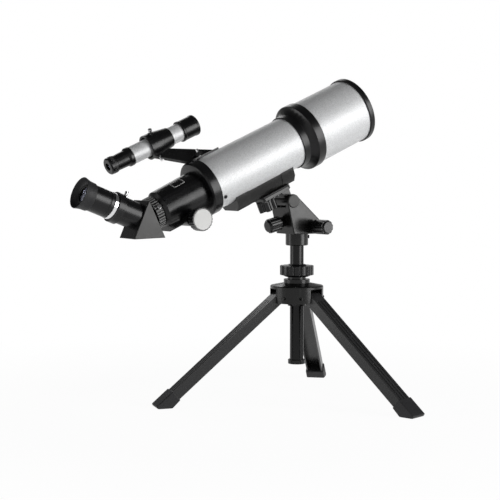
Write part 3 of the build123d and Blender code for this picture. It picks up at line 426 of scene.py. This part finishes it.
wears = {
    "leg_pivot_pins": "darkCasting", "centre_column": "blackPaint", "tilt_pivot_pin": "turnedSteel",
    "camera_plate_pad": "rubber", "main_tube": "silverTube", "flint_lens": "coatedGlass",
    "crown_lens": "coatedGlass", "dew_shield": "silverShield", "drawtube_rack": "gripBlack",
    "focus_pinion_shaft": "turnedSteel", "diagonal_mirror": "mirror", "eyepiece_eye_lens": "eyeGlass",
    "eyepiece_field_lens": "eyeGlass", "finder_tube": "silverFinder", "finder_objective": "coatedGlass",
    "finder_eye_lens": "eyeGlass", "finder_bracket_studs": "chrome",
}
for name, finishName in wears.items():
    mesh = nodes[name].data
    mesh.materials.clear()
    mesh.materials.append(finishes[finishName])

# moulded and turned pieces with their edges rounded
print("rounded edges")
edgeRound = {                       # node: width in metres, finish, material slot
    "hub": (0.0009, "darkCasting", "black_plastic"),
    "leg_1": (0.0006, "legBlack", "black_plastic"),
    "leg_2": (0.0006, "legBlack", "black_plastic"),
    "leg_3": (0.0006, "legBlack", "black_plastic"),
    "column_end_cap": (0.0006, "gripBlack", "grip_plastic"),
    "column_lock_nut": (0.0005, "gripBlack", "grip_plastic"),
    "head_collar": (0.0006, "darkCasting", "black_plastic"),
    "collar_set_screw": (0.0003, "darkSteel", "chrome"),
    "head_housing": (0.0006, "darkCasting", "black_plastic"),
    "pivot_caps": (0.0004, "capGrey", "grey_plastic"),
    "pan_lock_knob": (0.0005, "gripBlack", "grip_plastic"),
    "tilt_lock_knob": (0.0005, "gripBlack", "grip_plastic"),
    "camera_plate": (0.0006, "darkCasting", "black_metal"),
    "camera_screw_knob": (0.0008, "gripBlack", "grip_plastic"),
    "objective_cell": (0.0006, "glossBlack", "black_plastic"),
    "lens_retaining_ring": (0.0003, "satinBlack", "black_metal"),
    "dew_shield_rim": (0.0004, "glossBlack", "black_plastic"),
    "rear_collar": (0.0005, "satinBlack", "black_plastic"),
    "tube_screws": (0.0003, "darkSteel", "steel"),
    "focuser_housing": (0.0007, "satinBlack", "black_plastic"),
    "drawtube": (0.0002, "satinBlack", "black_metal"),
    "drawtube_tension_screw": (0.0003, "darkSteel", "chrome"),
    "drawtube_end_screw": (0.0003, "chrome", "chrome"),
    "focus_knobs": (0.0005, "gripBlack", "grip_plastic"),
    "focus_knob_caps": (0.0003, "capWhite", "white_cap"),
    "diagonal_body": (0.0005, "satinBlack", "black_plastic"),
    "diagonal_thumb_screw": (0.0003, "chrome", "chrome"),
    "eyepiece_barrel": (0.0004, "chrome", "chrome"),
    "finder_rear_body": (0.0004, "glossBlack", "black_plastic"),
    "finder_eyepiece": (0.0004, "gripBlack", "grip_plastic"),
    "finder_bracket": (0.0006, "satinBlack", "black_plastic"),
    "finder_bracket_nuts": (0.0003, "gripBlack", "grip_plastic"),
    "finder_adjusting_screw_1": (0.0003, "chrome", "chrome"),
    "finder_adjusting_screw_2": (0.0003, "chrome", "chrome"),
    "finder_adjusting_screw_3": (0.0003, "chrome", "chrome"),
}
bevelling = {"merge": 2e-6, "flat": radians(1.5), "corner": radians(33), "steps": 2}


def settle(name, mesh, body, replaced=()):
    piece = bpy.data.objects.new(name, mesh)
    scene.collection.objects.link(piece)
    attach(piece, body)
    if replaced:
        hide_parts(*replaced)
    return piece


def evaluated(draft):
    # the draft object's mesh with its modifiers worked in
    scene.view_layers[0].update()
    ready = draft.evaluated_get(bpy.context.evaluated_depsgraph_get())
    mesh = bpy.data.meshes.new_from_object(ready)
    bpy.data.objects.remove(draft)
    return mesh


def withRoundEdges(mesh, width, finish):
    draft = bpy.data.objects.new(mesh.name + "_draft", mesh)
    scene.collection.objects.link(draft)
    bevel = draft.modifiers.new("edges", "BEVEL")
    bevel.limit_method = "ANGLE"
    bevel.angle_limit = bevelling["corner"]
    bevel.width = width
    bevel.segments = bevelling["steps"]
    bevel.use_clamp_overlap = True
    for polygon in mesh.polygons:
        polygon.use_smooth = True
    weighted = draft.modifiers.new("flats", "WEIGHTED_NORMAL")
    weighted.keep_sharp = True
    final = evaluated(draft)
    final.materials.clear()
    final.materials.append(finishes[finish])
    return final


def nodeCopy(node):
    work = bmesh.new()
    work.from_mesh(nodes[node].data)
    bmesh.ops.remove_doubles(work, verts=work.verts, dist=bevelling["merge"])
    bmesh.ops.dissolve_limit(
        work, angle_limit=bevelling["flat"], verts=work.verts, edges=work.edges, delimit={"NORMAL"}
    )
    return work


def asMesh(work, name):
    mesh = bpy.data.meshes.new(name)
    work.to_mesh(mesh)
    work.free()
    return mesh


for node, (width, finish, slotName) in edgeRound.items():
    body = body_of(nodes[node])[0]
    mesh = withRoundEdges(asMesh(nodeCopy(node), node + "_mesh"), width, finish)
    settle(node + "_piece", mesh, body, [node])

# mesh tools: turned outlines and cut-out plates
millimetre = 0.001
cleaning = {"merge": 1e-6, "flat": 1e-7}


def cleaned(points, faces, name):
    mesh = bpy.data.meshes.new(name)
    mesh.from_pydata([Vector(point) * millimetre for point in points], [], faces)
    work = bmesh.new()
    work.from_mesh(mesh)
    bmesh.ops.remove_doubles(work, verts=work.verts, dist=cleaning["merge"])
    bmesh.ops.dissolve_degenerate(work, edges=work.edges, dist=cleaning["flat"])
    bmesh.ops.recalc_face_normals(work, faces=work.faces)
    work.to_mesh(mesh)
    work.free()
    return mesh


def turnedMesh(name, outline, steps=96):
    # a closed (radius, height) outline turned about Z, in millimetres
    count = len(outline)
    points = [
        (radius * cos(2 * pi * step / steps), radius * sin(2 * pi * step / steps), height)
        for step in range(steps) for radius, height in outline
    ]
    faces = []
    for step in range(steps):
        here, there = step * count, (step + 1) % steps * count
        for number in range(count):
            following = (number + 1) % count
            faces.append((here + number, there + number, there + following, here + following))
    return cleaned(points, faces, name)


def prismMesh(name, outline, low, high):
    # a closed (x, z) outline given its width along Y, in millimetres
    count = len(outline)
    points = [(x, side, z) for side in (low, high) for x, z in outline]
    faces = [tuple(reversed(range(count))), tuple(range(count, 2 * count))]
    for corner in range(count):
        following = (corner + 1) % count
        faces.append((corner, following, following + count, corner + count))
    return cleaned(points, faces, name)


def collarMesh(name, outer, inner, low, high):
    # the band between two (x, z) outlines of the same count, given its width along Y
    count = len(outer)
    points = [(x, side, z) for side in (low, high) for outline in (outer, inner) for x, z in outline]
    faces = []
    for here in range(count):
        there = (here + 1) % count
        for start in (0, count):
            faces.append((here + start, there + start, there + start + 2 * count, here + start + 2 * count))
        for start in (0, 2 * count):
            faces.append((here + start, there + start, there + start + count, here + start + count))
    return cleaned(points, faces, name)


def placed(mesh, frameHere):
    mesh.transform(frameHere)
    return mesh


def joined(name, meshes):
    work = bmesh.new()
    for mesh in meshes:
        work.from_mesh(mesh)
    return asMesh(work, name)


# eyepiece: ringed barrel, domed lens, its ring and a flared rubber cup
print("eyepiece")
eyepieceSizes = {
    "body": [
        (14.4, 51.7), (16.8, 51.7), (17.1, 52.2), (17.1, 56.4), (16.6, 56.9), (16.6, 57.8), (17.1, 58.3),
        (17.1, 84.0), (16.6, 84.5), (9.7, 84.5), (9.7, 80.4), (8.2, 80.4), (8.2, 66.0), (14.4, 60.0),
    ],
    "lens": [
        (0.001, 84.9), (9.5, 85.3), (9.6, 85.8), (9.6, 87.6), (8.0, 88.15), (6.0, 88.6), (3.5, 88.9),
        (0.001, 89.1),
    ],
    "ring": [(9.5, 84.5), (12.6, 84.5), (12.6, 89.4), (12.1, 89.9), (10.0, 89.9), (9.5, 89.3)],
    "cup": [
        (17.15, 79.6), (18.1, 79.6), (18.4, 80.1), (18.5, 83.5), (18.7, 86.5), (19.1, 89.0), (19.7, 91.4),
        (20.3, 93.6), (20.7, 94.8), (20.6, 95.5), (20.1, 95.7), (19.6, 95.2), (18.9, 93.2), (18.0, 91.0),
        (16.9, 89.2), (15.6, 88.2), (14.4, 87.8), (14.0, 87.3), (14.0, 86.3), (14.4, 85.7), (17.15, 84.6),
    ],
    "turns": 112, "edge": 0.0002,
}
eyepieceParts = {
    "body": ("glossBlack", "black_plastic", ["eyepiece_body"]),
    "lens": ("eyeGlass", "lens_glass", ["eyepiece_eye_lens"]),
    "ring": ("satinBlack", "black_metal", []),
    "cup": ("rubber", "rubber", ["eye_cup"]),
}
for part, (finish, slotName, replaced) in eyepieceParts.items():
    mesh = placed(turnedMesh("eyepiece_" + part, eyepieceSizes[part], eyepieceSizes["turns"]), socketFrame)
    mesh = withRoundEdges(mesh, eyepieceSizes["edge"], finish)
    settle("eyepiece_" + part + "_piece", mesh, "eyepiece", replaced)

# star diagonal: wedge casing and its two side plates
print("diagonal")
wedge = {
    "outline": [(22.6, -256.6), (-31.0, -254.3), (-13.7, -296.2)],
    "inside": [(15.6, -258.8), (-27.9, -257.0), (-13.5, -290.8)],
    "halfWidth": 18.5, "plate": 2.0, "edge": 0.0008, "plateEdge": 0.0007,
}
casing = collarMesh(
    "wedgeCasing", wedge["outline"], wedge["inside"], -wedge["halfWidth"], wedge["halfWidth"]
)
settle(
    "diagonal_casing", withRoundEdges(placed(casing, tubeFrame), wedge["edge"], "satinBlack"), "diagonal",
)
sides = []
for side in (-1, 1):
    low, high = sorted((side * wedge["halfWidth"], side * (wedge["halfWidth"] + wedge["plate"])))
    sides.append(prismMesh("wedgeSide", wedge["outline"], low, high))
sides = placed(joined("wedgeSides", sides), tubeFrame)
settle(
    "diagonal_plates", withRoundEdges(sides, wedge["plateEdge"], "plateGrey"), "diagonal",
    ["diagonal_side_plates"],
)

# rubber boots on the legs
print("boots")
boot = {
    "outline": [(8.3, 196.0), (8.3, 226.6), (3.9, 226.9), (-9.2, 211.5), (-8.3, 196.0)],
    "halfWidth": 13.6, "edge": 0.0014,
}
for number in range(3):
    mesh = prismMesh("boot", boot["outline"], -boot["halfWidth"], boot["halfWidth"])
    mesh = withRoundEdges(placed(mesh, legFrame(number)), boot["edge"], "rubber")
    settle(f"leg_{number + 1}_boot", mesh, f"leg_{number + 1}", [f"leg_{number + 1}_rubber_foot"])

# tube cradle: the lower half of its sides slopes in
cradle = {"bendAt": -0.0385, "bottomAt": -0.0450, "narrowTo": 0.74, "edge": 0.0007}
work = nodeCopy("tube_cradle")
work.transform(tubeFrame.inverted())
bmesh.ops.bisect_plane(
    work, geom=[*work.verts, *work.edges, *work.faces],
    plane_co=(cradle["bendAt"], 0, 0), plane_no=(1, 0, 0),
)
for vertex in work.verts:
    if vertex.co.x < cradle["bottomAt"]:
        vertex.co.y *= cradle["narrowTo"]
work.transform(tubeFrame)
mesh = withRoundEdges(asMesh(work, "cradle"), cradle["edge"], "darkCasting")
settle("tube_cradle_piece", mesh, "telescope", ["tube_cradle"])

# finder front cap with its two rolled lips
finderCap = {
    "outline": [
        (12.05, -146.2), (13.9, -146.2), (14.4, -145.7), (14.4, -143.2), (14.0, -142.6), (14.0, -124.8),
        (14.5, -124.0), (14.5, -121.0), (13.9, -120.2), (12.6, -120.2), (11.0, -121.6), (11.0, -121.95),
        (12.05, -121.95),
    ],
    "edge": 0.0003,
}
mesh = placed(turnedMesh("finderCap", finderCap["outline"]), finderFrame)
mesh = withRoundEdges(mesh, finderCap["edge"], "satinBlack")
settle("finder_front_cap_piece", mesh, "telescope", ["finder_front_cap"])

# outlined panel on the focuser
panel = {
    "rear": -214.0, "front": -197.0, "low": 12.0, "high": 36.0, "line": 0.55, "rise": 0.14, "steps": 12,
    "barrelAt": -238.0, "barrelRadius": 25.0, "barrelFlare": 0.03, "lineRadius": 26.0,
}


def focuserRadius(height):
    return panel["barrelRadius"] + (height - panel["barrelAt"]) * panel["barrelFlare"]


def wrappedStrip(rear, front, low, high):
    points, faces = [], []
    steps = panel["steps"]
    for step in range(steps + 1):
        turn = radians(low + (high - low) * step / steps)
        for height in (rear, front):
            for lift in (-panel["rise"], panel["rise"]):
                radius = focuserRadius(height) + lift
                points.append((radius * cos(turn), radius * sin(turn), height))
    for step in range(steps):
        here = step * 4
        faces += [
            (here, here + 4, here + 5, here + 1), (here + 2, here + 3, here + 7, here + 6),
            (here + 1, here + 5, here + 7, here + 3), (here, here + 2, here + 6, here + 4),
        ]
    last = steps * 4
    faces += [(0, 1, 3, 2), (last, last + 2, last + 3, last + 1)]
    return cleaned(points, faces, "strip")


lineTurn = panel["line"] / panel["lineRadius"] * 180 / pi
strips = [
    wrappedStrip(panel["rear"], panel["rear"] + panel["line"], panel["low"], panel["high"]),
    wrappedStrip(panel["front"] - panel["line"], panel["front"], panel["low"], panel["high"]),
    wrappedStrip(panel["rear"], panel["front"], panel["low"], panel["low"] + lineTurn),
    wrappedStrip(panel["rear"], panel["front"], panel["high"] - lineTurn, panel["high"]),
]
mesh = placed(joined("panelOutline", strips), tubeFrame)
mesh.materials.append(finishes["paleInk"])
settle("focuser_panel_outline", mesh, "telescope")

# Geometry Nodes for what repeats: grip ribs, turned rings, stiffening panels, screws
print("repeated details")
repeatShape = {
    "ribSides": 8, "ringSteps": 72, "wireSides": 6, "screwSides": 24,
    "screwTop": 0.75, "socketRadius": 0.42, "socketDepth": 2.6,      # shares of the head's radius or height
}


class Recipe(Layout):
    # a Geometry Nodes tree with named inputs, ending in Realize Instances and Set Material

    def __init__(self, name, sizes):
        super().__init__(bpy.data.node_groups.new(name, "GeometryNodeTree"))
        kinds = {int: "NodeSocketInt", float: "NodeSocketFloat"}
        face = self.tree.interface
        for size, kind in sizes.items():
            face.new_socket(size, in_out="INPUT", socket_type=kinds[kind])
        face.new_socket("Finish", in_out="INPUT", socket_type="NodeSocketMaterial")
        face.new_socket("Geometry", in_out="OUTPUT", socket_type="NodeSocketGeometry")
        self.given = self.tree.nodes.new("NodeGroupInput")

    def size(self, name):
        return Wire(self.tree, self.given.outputs[name])

    def vector(self, x=0.0, y=0.0, z=0.0):
        return self.add("ShaderNodeCombineXYZ", {}, {0: x, 1: y, 2: z})

    def close(self, points, shape):
        spread = self.add("GeometryNodeInstanceOnPoints", {}, {"Points": points, "Instance": shape})
        whole = self.add("GeometryNodeRealizeInstances", {}, {"Geometry": spread})
        painted = self.add("GeometryNodeSetMaterial", {}, {
            "Geometry": whole, "Material": self.size("Finish"),
        })
        out = self.tree.nodes.new("NodeGroupOutput")
        self.tree.links.new(painted.socket, out.inputs["Geometry"])
        return self.tree


def ribRingRecipe():
    recipe = Recipe("ribRing", {
        "Count": int, "Ring Radius": float, "Rib Radius": float, "Rib Length": float,
    })
    points = recipe.add("GeometryNodeMeshCircle", {}, {
        "Vertices": recipe.size("Count"), "Radius": recipe.size("Ring Radius"),
    })
    rib = recipe.add("GeometryNodeMeshCylinder", {}, {
        "Vertices": repeatShape["ribSides"], "Radius": recipe.size("Rib Radius"),
        "Depth": recipe.size("Rib Length"),
    })
    return recipe.close(points, rib)


def ringStackRecipe():
    recipe = Recipe("ringStack", {"Count": int, "Pitch": float, "Ring Radius": float, "Wire Radius": float})
    points = recipe.add("GeometryNodeMeshLine", {"mode": "OFFSET"}, {
        "Count": recipe.size("Count"), "Offset": recipe.vector(z=recipe.size("Pitch")),
    })
    circle = recipe.add("GeometryNodeCurvePrimitiveCircle", {}, {
        "Resolution": repeatShape["ringSteps"], "Radius": recipe.size("Ring Radius"),
    })
    wire = recipe.add("GeometryNodeCurvePrimitiveCircle", {}, {
        "Resolution": repeatShape["wireSides"], "Radius": recipe.size("Wire Radius"),
    })
    ring = recipe.add("GeometryNodeCurveToMesh", {}, {"Curve": circle, "Profile Curve": wire})
    return recipe.close(points, ring)


def panelRowRecipe():
    recipe = Recipe("panelRow", {
        "Count": int, "Pitch": float, "Panel Height": float, "Panel Width": float, "Panel Thickness": float,
    })
    points = recipe.add("GeometryNodeMeshLine", {"mode": "OFFSET"}, {
        "Count": recipe.size("Count"), "Offset": recipe.vector(z=recipe.size("Pitch")),
    })
    panelShape = recipe.add("GeometryNodeMeshCube", {}, {"Size": recipe.vector(
        recipe.size("Panel Height"), recipe.size("Panel Width"), recipe.size("Panel Thickness")
    )})
    return recipe.close(points, panelShape)


def screwRingRecipe():
    recipe = Recipe("screwRing", {
        "Count": int, "Ring Radius": float, "Head Radius": float, "Head Height": float,
    })
    points = recipe.add("GeometryNodeMeshCircle", {}, {
        "Vertices": recipe.size("Count"), "Radius": recipe.size("Ring Radius"),
    })
    head = recipe.add("GeometryNodeMeshCone", {}, {
        "Vertices": repeatShape["screwSides"], "Radius Bottom": recipe.size("Head Radius"),
        "Radius Top": recipe.size("Head Radius") * repeatShape["screwTop"],
        "Depth": recipe.size("Head Height"),
    })
    socket = recipe.add("GeometryNodeMeshCylinder", {}, {
        "Vertices": 6, "Radius": recipe.size("Head Radius") * repeatShape["socketRadius"],
        "Depth": recipe.size("Head Height") * repeatShape["socketDepth"],
    })
    screw = recipe.add("GeometryNodeMeshBoolean", {"operation": "DIFFERENCE"}, {
        "Mesh 1": head, "Mesh 2": socket,
    })
    return recipe.close(points, screw)


def grow(name, tree, sizes, finish, frameHere, body, slotName):
    draft = bpy.data.objects.new(name + "_draft", bpy.data.meshes.new(name))
    scene.collection.objects.link(draft)
    modifier = draft.modifiers.new("recipe", "NODES")
    modifier.node_group = tree
    given = {**sizes, "Finish": finishes[finish]}
    for item in tree.interface.items_tree:
        if item.in_out == "INPUT":
            modifier[item.identifier] = given[item.name]
    mesh = evaluated(draft)
    return settle(name, placed(mesh, frameHere), body)


ribRing = ribRingRecipe()
ringStack = ringStackRecipe()
panelRow = panelRowRecipe()
screwRing = screwRingRecipe()


def ahead(frameHere, distance, upward=0.0):
    return frameHere @ Matrix.Translation((upward * millimetre, 0, distance * millimetre))


hubUnder = {"height": 0.1363, "turn": radians(-place["firstLeg"] - 60)}   # between the legs
hubFrame = Matrix.Translation(column + Vector((0, 0, hubUnder["height"])))
hubFrame = hubFrame @ Matrix.Rotation(pi, 4, "X") @ Matrix.Rotation(hubUnder["turn"], 4, "Z")
repeats = {                    # recipe, its sizes in metres, finish, place, body, material slot
    # the drawtube grip ribs wear the grey rib finish, whose colour is a painted highlight
    "drawtube_grip": (
        ribRing, {"Count": 34, "Ring Radius": 0.0210, "Rib Radius": 0.0010, "Rib Length": 0.0092},
        "ribBlack", ahead(tubeFrame, -248.8), "drawtube", "black_metal",
    ),
    "finder_focus_grip": (
        ribRing, {"Count": 40, "Ring Radius": 0.0112, "Rib Radius": 0.0004, "Rib Length": 0.0052},
        "gripBlack", ahead(finderFrame, -256.4), "finder_eyepiece", "grip_plastic",
    ),
    "shield_baffles": (
        ringStack, {"Count": 22, "Pitch": 0.0030, "Ring Radius": 0.0433, "Wire Radius": 0.0004},
        "wallBlack", ahead(tubeFrame, 27.0), "telescope", "black_paint",
    ),
    "camera_plate_ribs": (
        panelRow, {
            "Count": 5, "Pitch": 0.0072, "Panel Height": 0.0022, "Panel Width": 0.0350,
            "Panel Thickness": 0.0015,
        },
        "darkCasting", ahead(tubeFrame, -92.5, -54.0), "telescope", "black_metal",
    ),
    "hub_screws": (
        screwRing, {"Count": 3, "Ring Radius": 0.0200, "Head Radius": 0.0030, "Head Height": 0.0016},
        "darkSteel", hubFrame, "tripod_hub", "steel",
    ),
}
for name, growing in repeats.items():
    grow(name, *growing)

# floor, world and lamps
print("floor and light")
studio = {
    "floorHalf": 6.0, "floorWhite": 0.9, "mottle": 0.01, "mottleScale": 3.0,
    "floorGlow": 0.955,                # share of plain white that the camera sees near the object
    "shadowReach": (0.30, 0.75),       # the floor goes all white between these distances
    "skyLow": 0.30, "skyHigh": 0.10, "skyTop": 0.6, "backdropTop": (0.0, 0.22),
    "target": (0.0, 0.0, 0.25),
    "lamps": {
        "rightBox": {"offset": (0.84, -1.42, 0.17), "size": (0.90, 1.30), "power": 30.0},
        "frontBox": {"offset": (-0.45, -1.45, 1.30), "size": (0.7, 0.7), "power": 3.5},
        "leftBox": {"offset": (-1.44, 0.70, 0.12), "size": (0.7, 0.9), "power": 7.0},
        "backBox": {"offset": (0.60, 1.55, 0.95), "size": (0.9, 0.9), "power": 5.0},
    },
}
floorMesh = bpy.data.meshes.new("floor")
half = studio["floorHalf"]
floorCorners = [(-half, -half, 0), (half, -half, 0), (half, half, 0), (-half, half, 0)]
floorMesh.from_pydata(floorCorners, [], [(0, 1, 2, 3)])
floor = bpy.data.objects.new("floor", floorMesh)
scene.collection.objects.link(floor)
floorFinish = Finish("floorWhite", rough=0.9, specular=0.0)
floorFinish.set(color=floorFinish.mix(
    floorFinish.noise(studio["mottleScale"]), (studio["floorWhite"],) * 3,
    (studio["floorWhite"] + studio["mottle"],) * 3,
))
floorX, floorY = floorFinish.parts(floorFinish.place)[:2]
fromMiddle = (floorX * floorX + floorY * floorY) ** 0.5
outward = floorFinish.fade(fromMiddle, *studio["shadowReach"], studio["floorGlow"], 1.0)
rays = floorFinish.tree.nodes.new("ShaderNodeLightPath")
seen = Wire(floorFinish.tree, rays.outputs["Is Camera Ray"])
for kind in ("Is Glossy Ray", "Is Transmission Ray"):
    seen = seen.maths("MAXIMUM", seen, Wire(floorFinish.tree, rays.outputs[kind]))
glow = floorFinish.add("ShaderNodeEmission", {}, {"Color": (1, 1, 1), "Strength": 1.0})
blend = floorFinish.add("ShaderNodeMixShader", {}, {
    0: seen * outward, 1: Wire(floorFinish.tree, floorFinish.shader.outputs[0]), 2: glow,
})
floorFinish.tree.links.new(blend.socket, floorFinish.tree.nodes["Material Output"].inputs["Surface"])
floor.data.materials.append(floorFinish.material)
floor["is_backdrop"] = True

world = bpy.data.worlds.new("studioWorld")
scene.world = world
world.use_nodes = True
sky = Layout(world.node_tree)
height = sky.parts(sky.add("ShaderNodeTexCoord", out="Generated"))[2]
skyLight = sky.add("ShaderNodeMapRange", {"clamp": True}, {
    "Value": height, "From Min": 0.0, "From Max": studio["skyTop"], "To Min": studio["skyLow"],
    "To Max": studio["skyHigh"],
})
path = world.node_tree.nodes.new("ShaderNodeLightPath")
cameraRay = Wire(world.node_tree, path.outputs["Is Camera Ray"])
whiteRay = cameraRay.maths("MAXIMUM", cameraRay, Wire(world.node_tree, path.outputs["Is Transmission Ray"]))
backdropShare = sky.add("ShaderNodeMapRange", {"clamp": True}, {
    "Value": height, "From Min": studio["backdropTop"][0], "From Max": studio["backdropTop"][1],
    "To Min": 1.0, "To Max": studio["skyHigh"],
})
glossyRay = Wire(world.node_tree, path.outputs["Is Glossy Ray"]) * backdropShare
whiteRay = whiteRay.maths("MAXIMUM", whiteRay, glossyRay)
backdrop = world.node_tree.nodes["Background"]
plug(world.node_tree, backdrop.inputs["Strength"], skyLight.maths("MAXIMUM", whiteRay, skyLight))
backdrop.inputs["Color"].default_value = (1, 1, 1, 1)

target = Vector(studio["target"])
for name, lamp in studio["lamps"].items():
    light = bpy.data.lights.new(name, "AREA")
    light.shape = "RECTANGLE"
    light.size, light.size_y = lamp["size"]
    light.energy = lamp["power"]
    lampObject = bpy.data.objects.new(name, light)
    lampObject.location = target + Vector(lamp["offset"])
    lampObject.rotation_euler = (target - lampObject.location).to_track_quat("-Z", "Y").to_euler()
    lampObject.visible_camera = False
    scene.collection.objects.link(lampObject)

scene.view_settings.view_transform = "Standard"
low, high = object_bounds()
print("finished")
